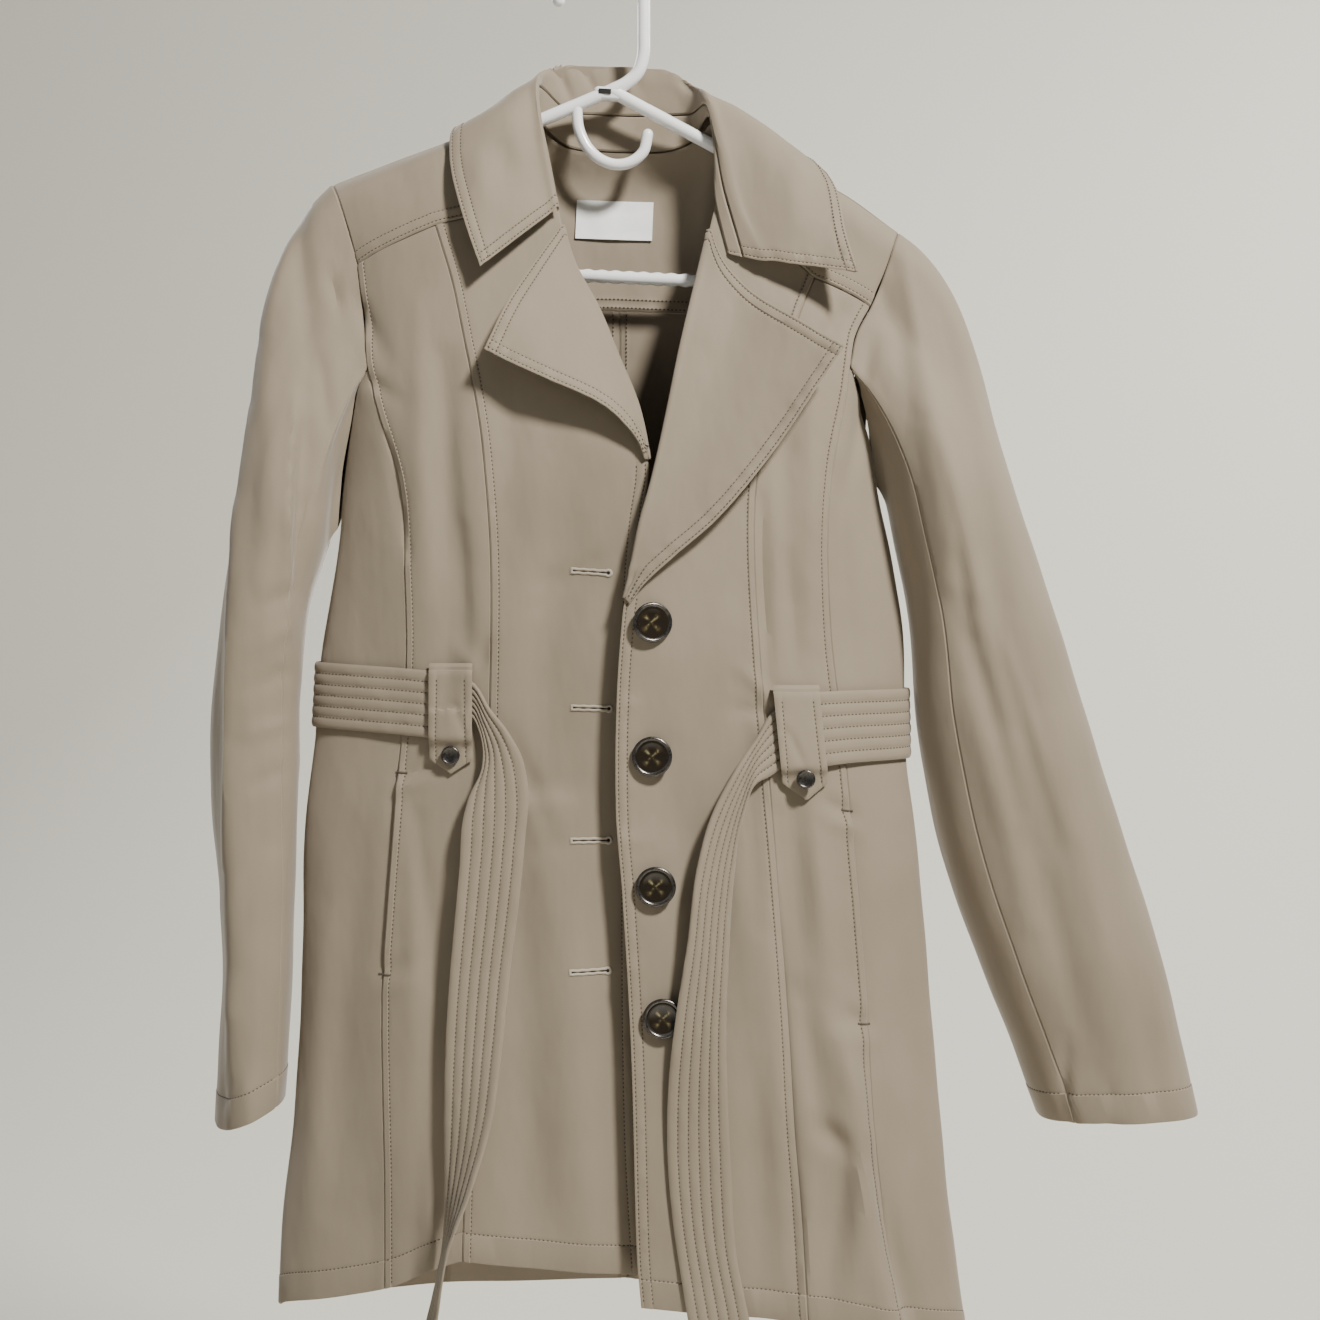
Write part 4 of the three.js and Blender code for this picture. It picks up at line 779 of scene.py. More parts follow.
def coons(top, bottom, left, right):
    """Grid between four border curves that share their corners."""
    v = np.linspace(0, 1, len(left))[:, None, None]
    u = np.linspace(0, 1, len(top))[None, :, None]
    corners = ((1 - u) * (1 - v) * top[0] + u * (1 - v) * top[-1]
               + (1 - u) * v * bottom[0] + u * v * bottom[-1])
    return ((1 - v) * top[None] + v * bottom[None] + (1 - u) * left[:, None]
            + u * right[:, None] - corners)


def yoke_seam(start, end, count):
    """The yokes' lower edge, where the panels start."""
    lines = np.linspace(end, start, count + 1)
    return body_point(lines, level("top", lines))


ROWS, COLUMNS, NECK_COLUMNS = 16, 20, 18
YOKE_SIDES = {"left": "seam", "right": "seam", "top": "seam", "bottom": "double"}
ridges = {side: evenly(xyz(rows), COLUMNS) for side, rows in RIDGES.items()}
for side, top, lines, edges in (
        ("right", ridges["right"][::-1], (0, 2), (FRONT_ARMHOLES, FRONT_NECKS)),
        ("left", ridges["left"], (8, 10), (FRONT_NECKS, FRONT_ARMHOLES))):
    edges = [evenly(xyz(rows[side]), ROWS) for rows in edges]
    cloth(f"yoke_{side}", coons(top, yoke_seam(*lines, COLUMNS), *edges), YOKE_SIDES, "body",
          creased=0.6)
back_top = np.vstack([ridges["left"][::-1], evenly(xyz(BACK_NECK), NECK_COLUMNS)[::-1][1:-1],
                      ridges["right"]])
edges = [evenly(xyz(BACK_ARMHOLES[side]), ROWS) for side in ("left", "right")]
cloth("yoke_back", coons(back_top, yoke_seam(4, 6, len(back_top) - 1), *edges), YOKE_SIDES, "body",
      creased=0.6, inside_rows=("bottom",))

# ---------------------------------------------------------------- lapels

LAPELS = {
    "right": dict(
        start=-199, end=-372, line=0, near=0.8,
        top=table("x y z", [-27, -62.5, -199], [-45, -80, -229], [-64, -98, -263],
                  [-78, -112, -297]),
        outer=table("x y z", [-78, -112, -297], [-48, -116, -312], [-26, -116, -322],
                    [-9, -114, -329], [3, -112, -335], [20, -107, -349], [30, -102, -362],
                    [33.5, -99.5, -372])),
    "left": dict(
        start=-203, end=-470, line=10, near=9.2,
        top=table("x y z", [80, -66, -203], [89, -70, -226], [103, -76, -244], [145, -98, -276],
                  [172, -112, -295]),
        outer=table("x y z", [172, -112, -295], [149, -114, -330], [114, -117, -380],
                    [81, -118, -418], [52, -117, -443], [31, -115, -463], [23, -113.6, -474])),
}


def lapel(side):
    shape = LAPELS[side]
    lift = CLOTH + LAYER_GAP  # over the front
    rows, columns = 40, 18
    heights = np.linspace(shape["start"], shape["end"], rows + 1)
    roll = body_point(shape["line"], heights) - [0, lift, 0]
    top = evenly(xyz(shape["top"]), columns)
    top[0] = roll[0]
    outer = evenly(xyz(shape["outer"]), rows)
    bottom = mix(roll[-1], outer[-1], np.linspace(0, 1, columns + 1)[:, None])
    grid = coons(top, bottom, roll, outer)
    on_body = nearest_body_y(shape["near"], grid[..., 0], grid[..., 2])
    grid[..., 1] = np.minimum(grid[..., 1], on_body - lift)
    out = 1 if side == "right" else -1
    # the front edge turns over along the roll line
    turn = np.radians([125, 95, 65, 32])[None, :, None]
    lip = roll[:, None] + [0, lift, 0] + lift * (
        np.sin(turn) * [out, 0, 0] - np.cos(turn) * [0, 1, 0])
    grid = np.hstack([lip, grid])
    roll_side, free_side = "left", "right"
    if side == "right":
        grid = grid[:, ::-1]
        roll_side, free_side = "right", "left"
    sides = {"top": "edge", "bottom": "fold", roll_side: "roll", free_side: "edge"}
    cloth(f"lapel_{side}", grid, sides, "collar", creased=0.35,
          step=(1.6, 2.2), ladder=0.5)


for side in LAPELS:
    lapel(side)

# ---------------------------------------------------------------- collar

# along the neck, from the right lapel to the left one; stand: height of the seam over the
# neck line; arch: how far the leaf bulges between its fold and its edge
COLLAR = numbered(table(
    "neckX neckY neckZ foldX foldY foldZ edgeX edgeY edgeZ stand arch",
    [-29, -64, -191, -28, -67, -188, -82.6, -94, -236, 1, 0],
    [-33, -61, -170, -32, -66, -168, -96, -86, -197, 1.5, 3],
    [-38, -60, -148, -36.5, -65.5, -145, -106, -72, -159, 2, 6],
    [-43, -58, -127, -41, -64, -122, -107, -56, -129, 3.5, 7],
    [-46, -50, -104, -43.5, -55.5, -96.5, -100, -34, -128, 5, 8],
    [-44, -33, -116, -40, -35, -80, -74, -15, -142, 24, 7],
    [-24, -28, -133, -24, -26, -73, -32, -10, -148, 27, 3],
    [0, -25, -135.5, 0, -21, -72, 2, -9, -150, 28, 2],
    [26, -25, -136.5, 26, -20, -72.5, 30, -9, -150, 28, 2],
    [50, -28, -136, 50, -24, -77, 72, -10, -150, 27, 3],
    [67, -32, -130, 65, -33, -90, 112, -15, -150, 20, 6],
    [79, -50, -118, 76, -54, -106, 152, -36, -147, 8, 8],
    [82, -59, -148, 85, -63, -138, 170, -62, -170, 7, 6],
    [83, -63, -182, 95, -68, -176, 176, -84, -210, 9, 4],
    [92, -72, -222, 117, -79, -229, 183, -96, -240, 12, 0]))
FOLD_RADIUS = 4.4
STAND_START, LAST_STATION = 3.2, len(COLLAR["row"]) - 1


def collar_rows(stations):
    """The neck line, the way up from it, the seam, the fold, the edge and the arch."""
    value = {key: read(COLLAR, "row", key, stations)[:, None] for key in COLLAR}
    neck, fold, edge = (np.hstack([value[part + axis] for axis in "XYZ"])
                        for part in ("neck", "fold", "edge"))
    up = unit(fold - neck)
    return neck, up, neck + up * value["stand"], fold, edge, value["arch"]


def leaf_grid(stations):
    """The leaf: up from its seam with the stand, over the fold and down to its edge."""
    _, up, seam, fold, edge, arch = collar_rows(stations)
    out = unit(edge - fold)
    over = out - up * (out * up).sum(-1, keepdims=True)
    over = over / np.maximum(np.linalg.norm(over, axis=-1, keepdims=True), 0.6)
    low = seam + up * 0.3

    def fall(share, lift):
        return mix(fold, edge, share) + up * lift + over * FOLD_RADIUS * (1 - share)

    profile = [low, mix(low, fold, 0.5), mix(low, fold, 0.85),
               fold + over * FOLD_RADIUS * 0.5 + up * FOLD_RADIUS * 0.4, fall(0.06, arch * 0.2),
               fall(0.3, arch * 0.9), fall(0.55, arch), fall(0.78, arch * 0.6), edge]
    return np.stack(profile, 1)


def stand_grid(stations):
    """The stand: from the neck up to the leaf's seam."""
    neck, up, seam, _, _, _ = collar_rows(stations)
    foot, top = neck + up * 0.6, seam - up * 0.6
    return np.stack([mix(foot, top, share) for share in (0, 0.33, 0.67, 1)], 1)


cloth("collar_leaf", leaf_grid(np.linspace(0, LAST_STATION, 90)),
      {"left": "seam", "right": "edge", "top": "edge", "bottom": "edge"}, "collar",
      creased=0.3, step=(1.5, 1.7), ladder=1.0)
cloth("collar_stand", stand_grid(np.linspace(STAND_START, LAST_STATION, 46)),
      {"left": "seam", "right": "seam", "top": "tuck", "bottom": "tuck"}, "collar",
      creased=0.0, step=(3.0, 3.0))

# ---------------------------------------------------------------- sleeves

# rings down each sleeve: its outer and inner side, its depth, and how far the front leans out
SLEEVES = {
    "right": table(
        "outerX outerZ innerX innerZ front back lean",
        [-257, -400, -199, -436, -110, -14, 5], [-272, -470, -212, -480, -109, -14, 8],
        [-281, -542, -218, -546, -107, -16, 11], [-281, -615, -221, -618, -105, -18, 12],
        [-274, -688, -222, -690, -103, -20, 11], [-272, -745, -223, -746, -102, -22, 10],
        [-274, -800, -226, -792, -101, -24, 11], [-276, -847, -229, -826, -100, -26, 12]),
    "left": table(
        "outerX outerZ innerX innerZ front back lean",
        [295, -382, 211, -408, -106, -14, 0], [323, -469, 226, -488, -104, -15, 0],
        [346, -542, 232, -560, -102, -17, 0], [375, -633, 249, -650, -100, -20, 0],
        [400, -714, 275, -728, -97, -24, 0], [417, -781, 301, -792, -94, -28, 0],
        [430.5, -838, 320, -843, -92, -32, 0]),
}
for rows in SLEEVES.values():
    numbered(rows)
SQUARENESS = 2.6  # of a ring: 2 is an ellipse
ARMPIT_Y = -50
AROUND = 26  # points of the armhole
FRONT_SEAM, BACK_SEAM = 9, 17  # of those, where the sleeve seams start


def armhole(side):
    """The armhole's points: from the shoulder down the front and up the back."""
    front, back = (2, 4) if side == "right" else (8, 6)
    down = np.arange(1, 6) / 5
    front_z = mix(level("top", front), level("underarm", front), down)
    back_z = mix(level("top", back), level("underarm", back), down[:-1][::-1])
    back_z = np.append(back_z, level("top", back))
    lines = np.linspace(front, back, 9)[1:]
    return np.vstack([
        evenly(xyz(FRONT_ARMHOLES[side]), 4), body_point(front, front_z),
        body_point(lines, level("underarm", lines)), body_point(back, back_z),
        evenly(xyz(BACK_ARMHOLES[side]), 4)[::-1][1:-1]])


def squared(value):
    """A sine or cosine of a ring that is squarer than an ellipse."""
    return np.sign(value) * abs(value) ** (2 / SQUARENESS)


def sleeve_ring(rows, down, places):
    """Points around a sleeve at a height counted in rows; its inner side meets the armpit's depth."""
    value = {key: float(read(rows, "row", key, down)) for key in rows}
    outer = np.array([value["outerX"], 0, value["outerZ"]])
    inner = np.array([value["innerX"], 0, value["innerZ"]])
    middle = (outer + inner) / 2 + [0, (value["front"] + value["back"]) / 2, 0]
    half = (outer - inner) / 2
    depth = (value["back"] - value["front"]) / 2
    angle = 2 * math.pi * places / AROUND
    forward, outwards = squared(np.sin(angle))[:, None], squared(np.cos(angle))[:, None]
    lean = np.array([-np.sign(half[0]) * value["lean"], -depth, 0])
    back = np.array([0, ARMPIT_Y - middle[1], 0])
    return middle + half * outwards + lean * forward + back * np.maximum(0, -outwards)


def round_curve(points, places):
    """A closed curve through the points, read at places counted in points."""
    count = len(points)
    slope = (np.roll(points, -1, 0) - np.roll(points, 1, 0)) / 2
    i = np.floor(places).astype(int) % count
    j = (i + 1) % count
    return hermite(points[i], slope[i], points[j], slope[j], (places % 1)[:, None])


def sleeve_grid(side, places):
    """Rings from the armhole over the sleeve head and down to the cuff."""
    rows = SLEEVES[side]
    outward = -1 if side == "right" else 1
    start = round_curve(armhole(side), places) + [outward * 0.15, 0, 0]
    first, second = sleeve_ring(rows, 0, places), sleeve_ring(rows, 0.2, places)
    span = np.linalg.norm(first - start, axis=-1, keepdims=True)
    top = np.maximum(0, np.cos(2 * math.pi * places / AROUND))
    push = np.zeros_like(start)
    push[:, 0] = outward * (0.35 + 0.55 * top)
    leave = unit(unit(first - start) + push) * span
    arrive = unit(second - first) * span
    rings = [hermite(start, leave, first, arrive, u) for u in np.arange(0, 1, 0.1)]
    rings += [sleeve_ring(rows, down, places) for down in np.linspace(0, rows["row"][-1], 36)]
    return np.array(rings)


for side in ("right", "left"):
    pieces = {"top": (BACK_SEAM - AROUND, FRONT_SEAM, f"yoke_{side}"),
              "under": (FRONT_SEAM, BACK_SEAM, f"sleeve_top_{side}")}
    for part, (start, end, sewn_to) in pieces.items():
        places = np.linspace(start, end, 3 * (end - start) + 1)
        grid = sleeve_grid(side, places if side == "right" else places[::-1])
        cloth(f"sleeve_{part}_{side}", grid,
              {"left": "seam", "right": "seam", "top": "seam", "bottom": "cuff"}, "sleeves",
              creased=0.9, step=(4, 3.2))

# ---------------------------------------------------------------- belt

CHANNELS, CHANNEL_POINTS = 6, 6  # quilted channels across the belt, and the points of each
PUFF = 0.9  # height of a channel over its stitch rows
STANDOFF = 2.6  # from the coat to the back of the belt
BELT_START, BELT_END = 1.62, 8.6  # lines of the body under the carriers
BELT_ROUTE = table("line top bottom", [BELT_START, -521, -568], [2, -519, -566], [3, -514, -561],
                   [4, -516, -564], [5, -521, -569], [6, -528, -577], [7, -533, -583],
                   [8, -535, -586], [BELT_END, -536, -589])
BELT_ENDS = {
    "right": table(
        "leftX leftY leftZ rightX rightY rightZ",
        [-101, -92.2, -556, -101, -92, -522], [-89, -94.6, -554, -87.5, -95.6, -529],
        [-82, -99, -566, -76, -102, -546], [-81, -103, -590, -62, -107, -563],
        [-90, -107, -610, -52, -108, -581], [-93, -110, -624, -48, -109, -600],
        [-95, -111, -655, -50, -110, -640], [-98, -112, -690, -54, -112, -681],
        [-102, -112, -735, -60, -113, -728], [-105, -112, -785, -65, -118, -778],
        [-106, -112, -835, -72, -128, -830], [-106, -111, -880, -86, -140, -876],
        [-107, -111, -918, -100, -148, -914], [-114, -113, -955, -106, -150, -952],
        [-122, -118, -988, -110, -148, -984], [-126, -122, -1008, -112, -148, -1004]),
    "left": table(
        "leftX leftY leftZ rightX rightY rightZ",
        [136, -101.4, -541, 136, -101.9, -584], [123, -104, -549, 127, -104.4, -590],
        [112, -107.5, -566, 121, -106.5, -594], [96, -116, -590, 111, -112, -599],
        [80, -121, -620, 101, -113, -625], [70, -124, -655, 96, -113, -660],
        [63, -124, -708, 92, -114, -715], [56, -122, -752, 90, -115, -765],
        [50, -119, -805, 91, -116, -818], [49, -118, -850, 93, -117, -862],
        [53, -118, -902, 97, -118, -925], [60, -119, -948, 106, -119, -970],
        [66, -120, -985, 112, -121, -1002]),
}


def belt(name, left, right, rests_on):
    """A quilted strip between its two edges, with a row of stitches between the channels."""
    count = round(lengths(left)[-1] / STEP)
    left, right = evenly(left, count), evenly(right, count)
    share = np.linspace(0, 1, CHANNELS * CHANNEL_POINTS + 1)
    grid = mix(left[:, None], right[:, None], share[None, :, None])
    normals = grid_normals(grid)
    run = lengths(grid[:, len(share) // 2])[:, None]
    phase = CHANNELS * share[None, :]
    swell = abs(np.sin(math.pi * phase)) ** 0.6
    wave = 1 + 0.22 * ripple(run * 0.7 + 9 * np.floor(phase), 1.3)
    rim = bell(share, 0.02) + bell(1 - share, 0.02)
    height = PUFF * (swell * wave - 0.25) - 0.3 * rim[None, :]
    outer = grid + normals * height[..., None]
    inner = grid - normals * CLOTH
    piece = mesh_object(f"{name}_cloth", *wall(outer, inner), cloth_material, "shell_cloth", name, 50)
    for k in range(CHANNEL_POINTS, CHANNELS * CHANNEL_POINTS, CHANNEL_POINTS):
        stitch_row("belt", outer[:, k], normals[:, k])
        stitch_row("belt", inner[:, k], -normals[:, k])


places = np.linspace(BELT_START, BELT_END, 60)
tops, bottoms = (read(BELT_ROUTE, "line", key, places) for key in ("top", "bottom"))
push = body_normal(places, (tops + bottoms) / 2) * (STANDOFF + CLOTH)
belt("belt_waist", body_point(places, tops) + push, body_point(places, bottoms) + push,
     ["belt_carrier_right", "belt_carrier_left"])
for side, rows in BELT_ENDS.items():
    edges = [np.stack([rows[edge + axis] for axis in "XYZ"], -1) for edge in ("left", "right")]
    belt(f"belt_end_{side}", *edges, [f"belt_carrier_{side}"])

# ---------------------------------------------------------------- carriers and studs

CARRIERS = {
    "right": dict(x=-103, z=-516, width=31, length=77, point=10, slant=0, line=1.5, over=52,
                  crease=((-102, -541), (-91, -570))),
    "left": dict(x=139, z=-531, width=33, length=80, point=12, slant=8, line=8.6, over=58,
                 crease=((132, -560), (146, -590))),
}
# off: distance from the coat, which rises over the belt and falls again beyond it
CARRIER_TOP = table("down off", [0, 2.6], [2, 4.6], [4.5, 8], [8, 8.8], [14, 8.8])
CARRIER_LOW = table("below off", [-3, 8.8], [0.5, 8.2], [5, 4.8], [10, 3.6], [28, 3.2])


def carrier_points(shape, side, down):
    """Points of a carrier strap: side from -1 to 1 across it, and down from its top."""
    side, down = np.broadcast_arrays(np.asarray(side, float), np.asarray(down, float))
    slant = shape["slant"] * np.minimum(down / shape["length"], 1)
    x = shape["x"] + slant + side * shape["width"] / 2
    z = shape["z"] - down
    off = np.where(down < 20, read(CARRIER_TOP, "down", "off", down),
                   read(CARRIER_LOW, "below", "off", down - shape["over"]))
    return np.stack([x, nearest_body_y(shape["line"], x, z) - off, z], -1)


def carrier(side):
    """A strap from the bar tack over the belt to its point, with the crease the belt pulls in."""
    shape = CARRIERS[side]
    across = np.linspace(-1, 1, 15)
    reach = shape["length"] - shape["point"] * abs(across)
    share = np.linspace(0, 1, 34)[:, None]
    grid = carrier_points(shape, across[None, :], share * reach[None, :])
    crease = np.array(shape["crease"], float)

    def folds(points):
        down = edge_distances(points)["top"][0]
        bar = 1.5 / (1 + np.exp((down - 5.2) * 3)) - 0.5 * bell(down - 5.8, 0.8)
        way = crease[1] - crease[0]
        flat = points[..., [0, 2]] - crease[0]
        t = np.clip(flat @ way / (way @ way), 0, 1)
        off = np.linalg.norm(flat - t[..., None] * way, axis=-1)
        return bar - 1.1 * bell(off, 3.2) * np.sin(math.pi * t) ** 0.7

    cloth(f"belt_carrier_{side}", grid,
          {"left": "strap", "right": "strap", "top": "bar", "bottom": "fold"}, "belt",
          creased=0.3, step=(2.0, 2.0), shape=folds,
          below={"left": shape["z"] - 7, "right": shape["z"] - 7})


for side in CARRIERS:
    carrier(side)

# ---------------------------------------------------------------- buttons and studs

LATHE_SIDES = 56


def ring_faces(count, sides, closed=False, flip=False):
    """Faces between rings of points, with a cap at each end where the rings don't close."""
    i, j = np.meshgrid(np.arange(count if closed else count - 1), np.arange(sides), indexing="ij")
    here, after, beside = i * sides, (i + 1) % count * sides, (j + 1) % sides
    quads = np.stack([here + j, here + beside, after + beside, after + j], -1).reshape(-1, 4)
    caps = [] if closed else [range(sides)[::-1], range((count - 1) * sides, count * sides)]
    if flip:
        quads, caps = quads[:, [0, 3, 2, 1]], [cap[::-1] for cap in caps]
    return [tuple(face) for face in quads] + [tuple(cap) for cap in caps]


def turned(name, profile, place, turn, made, slot, node=None):
    """A solid turned about the axis towards the viewer, from (radius, height) pairs."""
    profile = np.array(profile, float)
    angle = np.linspace(0, 2 * math.pi, LATHE_SIDES, endpoint=False)
    ring = np.stack([np.cos(angle), np.zeros(LATHE_SIDES), np.sin(angle)], -1)
    points = (profile[:, None, :1] * ring - profile[:, None, 1:] * [0, 1, 0]).reshape(-1, 3)
    c, s = math.cos(math.radians(turn)), math.sin(math.radians(turn))
    points = points @ np.array([[c, s, 0], [-s, c, 0], [0, 0, 1]])
    thing = mesh_object(name, points, ring_faces(len(profile), LATHE_SIDES, flip=True), made, slot,
                        node, angle=40)
    thing.location = np.array(place) * MM


def tortoise_look():
    """Clear brown plastic over four pale petals."""
    made, tree, shader = material("tortoise", (0.02, 0.012, 0.006), 0.08)
    shader.inputs["Coat Weight"].default_value = 0.6
    place = place_input(tree)
    axes = add_node(tree, "ShaderNodeSeparateXYZ")
    tree.links.new(place, axes.inputs["Vector"])

    def maths(kind, first, second=None, value=None):
        node = add_node(tree, "ShaderNodeMath", operation=kind)
        for socket, source in ((0, first), (1, second)):
            if source is not None:
                tree.links.new(source, node.inputs[socket])
        if value is not None:
            node.inputs[1].default_value = value
        return node.outputs["Value"]

    def span(value, low, high):
        node = add_node(tree, "ShaderNodeMapRange", interpolation_type="SMOOTHSTEP")
        node.inputs["From Min"].default_value = low
        node.inputs["From Max"].default_value = high
        tree.links.new(value, node.inputs["Value"])
        return node.outputs["Result"]

    x, z = (maths("POWER", maths("ABSOLUTE", axes.outputs[axis]), value=2.0) for axis in "XZ")
    reach = maths("ADD", x, z)
    across = maths("DIVIDE", maths("ABSOLUTE", maths("SUBTRACT", x, z)),
                   maths("ADD", reach, value=2e-6))
    petals = maths("MULTIPLY", span(across, 0.75, 0.1), span(reach, 8.5e-5, 1.0e-5))
    cloudy = maths("MULTIPLY", petals, span(noise(tree, place, 420.0, 3), 0.25, 0.7))
    tree.links.new(
        ramp(tree, cloudy, (0.0, (0.012, 0.008, 0.004)), (0.5, (0.05, 0.038, 0.016)),
             (1.0, (0.2, 0.18, 0.1))), shader.inputs["Base Color"])
    return made


def gunmetal_look():
    made, tree, shader = material("gunmetal", (0.1, 0.092, 0.085), 0.3, 1.0)
    place = place_input(tree)
    mottle(tree, shader, "Base Color", place, 300.0, 3, (0.085, 0.078, 0.07), (0.14, 0.13, 0.12))
    mottle(tree, shader, "Roughness", place, 700.0, 2, 0.24, 0.36)
    return made


tortoise, gunmetal = tortoise_look(), gunmetal_look()
BUTTON_LINE, BUTTON_GAP = 9.2, 0.6  # line of the body they are on, and their distance from it
BUTTONS = table("x z turn", [38, -487, 14], [38.5, -580, 0], [41, -670, 0], [46, -761, 0])
BUTTON_FACE = [(0.01, 3.3), (11.3, 3.3), (11.3, 4.5), (10.6, 4.75), (9, 4.35), (6, 3.95), (3, 3.8),
               (0.01, 3.75)]
BUTTON_RIM = [(0.01, 0), (3.1, 0), (3.1, 1.5), (10.6, 1.6), (13.2, 2.5), (13.9, 3.2), (14, 4.1),
              (13.6, 4.9), (12.8, 5.25), (12, 5.1), (11.4, 4.6), (11.25, 3.2), (0.01, 3.2)]
for number, (x, z, turn) in enumerate(zip(*BUTTONS.values()), 1):
    node = f"button_{number}"
    place = (x, float(nearest_body_y(BUTTON_LINE, x, z)) - BUTTON_GAP, z)
    turned(f"{node}_face", BUTTON_FACE, place, turn, tortoise, "button_plastic", node)
    turned(f"{node}_rim", BUTTON_RIM, place, turn, gunmetal, "stud_metal")

STUD_PROFILE = [(0.01, 0), (4.6, 0), (4.6, 0.8), (6.3, 0.9), (6.6, 1.2), (6.6, 1.9), (6.35, 2.5),
                (5.9, 2.85), (5.4, 2.9), (5.05, 2.7), (4.9, 2.62), (0.01, 2.62)]
STUD_UP = 3  # how far over the start of a strap's point
STUD_GAP = 0.3
for side, shape in CARRIERS.items():
    node = f"carrier_stud_{side}"
    down = shape["length"] - shape["point"] - STUD_UP
    # clear of the strap at its middle and around it
    around = [carrier_points(shape, s, down + dz)[1]
              for s, dz in ((0, 0), (0.4, 0), (-0.4, 0), (0, 6), (0, -6))]
    middle = carrier_points(shape, 0, down)
    place = (middle[0], min(around) - STUD_GAP, middle[2])
    turned(f"{node}_cap", STUD_PROFILE, place, 0, gunmetal, "stud_metal", node)

# ---------------------------------------------------------------- buttonholes and bar tacks


def sweep(points, radius, sides=8, across=(0, 1, 0), closed=False, flat=1.0):
    """Points and faces of a tube along a line; radius may change along it."""
    points = np.asarray(points, float)
    count = len(points)
    if closed:
        way = unit(np.roll(points, -1, 0) - np.roll(points, 1, 0))
    else:
        way = unit(np.gradient(points, axis=0))
    side = unit(np.cross(way, across))
    other = np.cross(side, way)
    angle = np.linspace(0, 2 * math.pi, sides, endpoint=False)
    radius = np.broadcast_to(np.asarray(radius, float), count)[:, None, None]
    ring = (side[:, None] * np.cos(angle)[None, :, None]
            + other[:, None] * np.sin(angle)[None, :, None] * flat)
    return (points[:, None] + radius * ring).reshape(-1, 3), ring_faces(count, sides, closed)


def joined(pieces):
    """One list of points and faces from several."""
    vertices, faces, start = [], [], 0
    for points, polygons in pieces:
        vertices.append(points)
        faces += [tuple(v + start for v in polygon) for polygon in polygons]
        start += len(points)
    return np.vstack(vertices), faces


def on_front(flat):
    """The points of the right front that lie at the given X and Z."""
    return np.array([surface_at("front_centre_right", x, z) for x, z in flat])


BUTTONHOLES = table("x0 x1 z slope", [-18.5, 9.5, -451, -2.2], [-18.5, 10, -547, -0.6],
                    [-18.5, 9.5, -640, 0.4], [-19, 9, -731.5, 0.5])
EYELET = 2.1  # radius of the round end
OPENING = 0.55  # the slit's share of the outline's width
BEADS, BEAD = 110, 0.95  # loops of thread around a buttonhole, and their thickness
END_TACK = 2.4  # half the height of the bar tack at the straight end
TACK = 0.75  # radius of a pocket's bar tack
# near black, painted shade: the shade inside the buttonholes' slits and the hanger hub's slot
painted_shade_material, _, _ = material("painted_slit_shade", (0.006, 0.005, 0.004), 0.9)
lips, slits = [], []
for x0, x1, z, slope in zip(*BUTTONHOLES.values()):
    # the outline of the keyhole: two straight lips and a round eyelet towards the edge
    start = np.array([x0, z - slope / 2])
    way = np.array([x1 - x0, slope])
    length = np.linalg.norm(way)
    way = way / length
    side = np.array([-way[1], way[0]])
    lip = [(s, 1.3 + 0.15 * math.sin(0.9 * s)) for s in np.linspace(0.4, length - 3.6, 24)]
    eyelet = [(length - 1.4 - EYELET * 0.2 + EYELET * math.cos(a), EYELET * math.sin(a))
              for a in np.linspace(2.5, -2.5, 14)]
    path = np.array(lip + eyelet + [(s, -w) for s, w in reversed(lip)])
    outline = on_front(start + path[:, :1] * way + path[:, 1:] * side)
    outline = evenly(np.vstack([outline, outline[:1]]), BEADS)[:-1]
    bead = BEAD + 0.13 * (np.arange(BEADS) % 2)
    lips.append(sweep(outline - [0, 0.1, 0], bead, closed=True, flat=0.8))
    # a flat near-black sheet just over the slit, painted shade of the opening
    slit = on_front(start + path[:, :1] * way + path[:, 1:] * OPENING * side) - [0, 0.25, 0]
    slits.append((slit, [tuple(range(len(slit)))]))
    bar = on_front(start + np.array([[-0.2, -END_TACK], [-0.2, END_TACK]]) @ np.array([way, side]))
    lips.append(sweep(evenly(bar, 6), 0.8, flat=0.7))
mesh_object("buttonhole_lips", *joined(lips), bead_material, "shell_cloth", angle=60)
mesh_object("buttonhole_slit_shade", *joined(slits), painted_shade_material, "shell_cloth", angle=60)

POCKET_TACKS = {
    "right": table("x0 z0 x1 z1", [-143.5, -592.5, -135, -593], [-155, -735, -146.5, -735.5]),
    "left": table("x0 z0 x1 z1", [172, -619, 180.5, -620], [183, -768.5, 192, -769.5]),
}
tacks = []
for side, rows in POCKET_TACKS.items():
    for x0, z0, x1, z1 in zip(*rows.values()):
        line = []
        for share in np.linspace(0, 1, 9):
            hits = [surface_at(f"{node}_{side}", mix(x0, x1, share), mix(z0, z1, share))
                    for node in ("front_middle", "front_side")]
            line.append(min((hit for hit in hits if hit is not None), key=lambda hit: hit[1]))
        tacks.append(sweep(np.array(line) - [0, 0.15, 0], TACK, flat=0.7))
# the bar tacks take the same dark stitch colour, painted shade
mesh_object("bar_tacks", *joined(tacks), stitch_shade_material, "shell_cloth", angle=60)

# ---------------------------------------------------------------- label


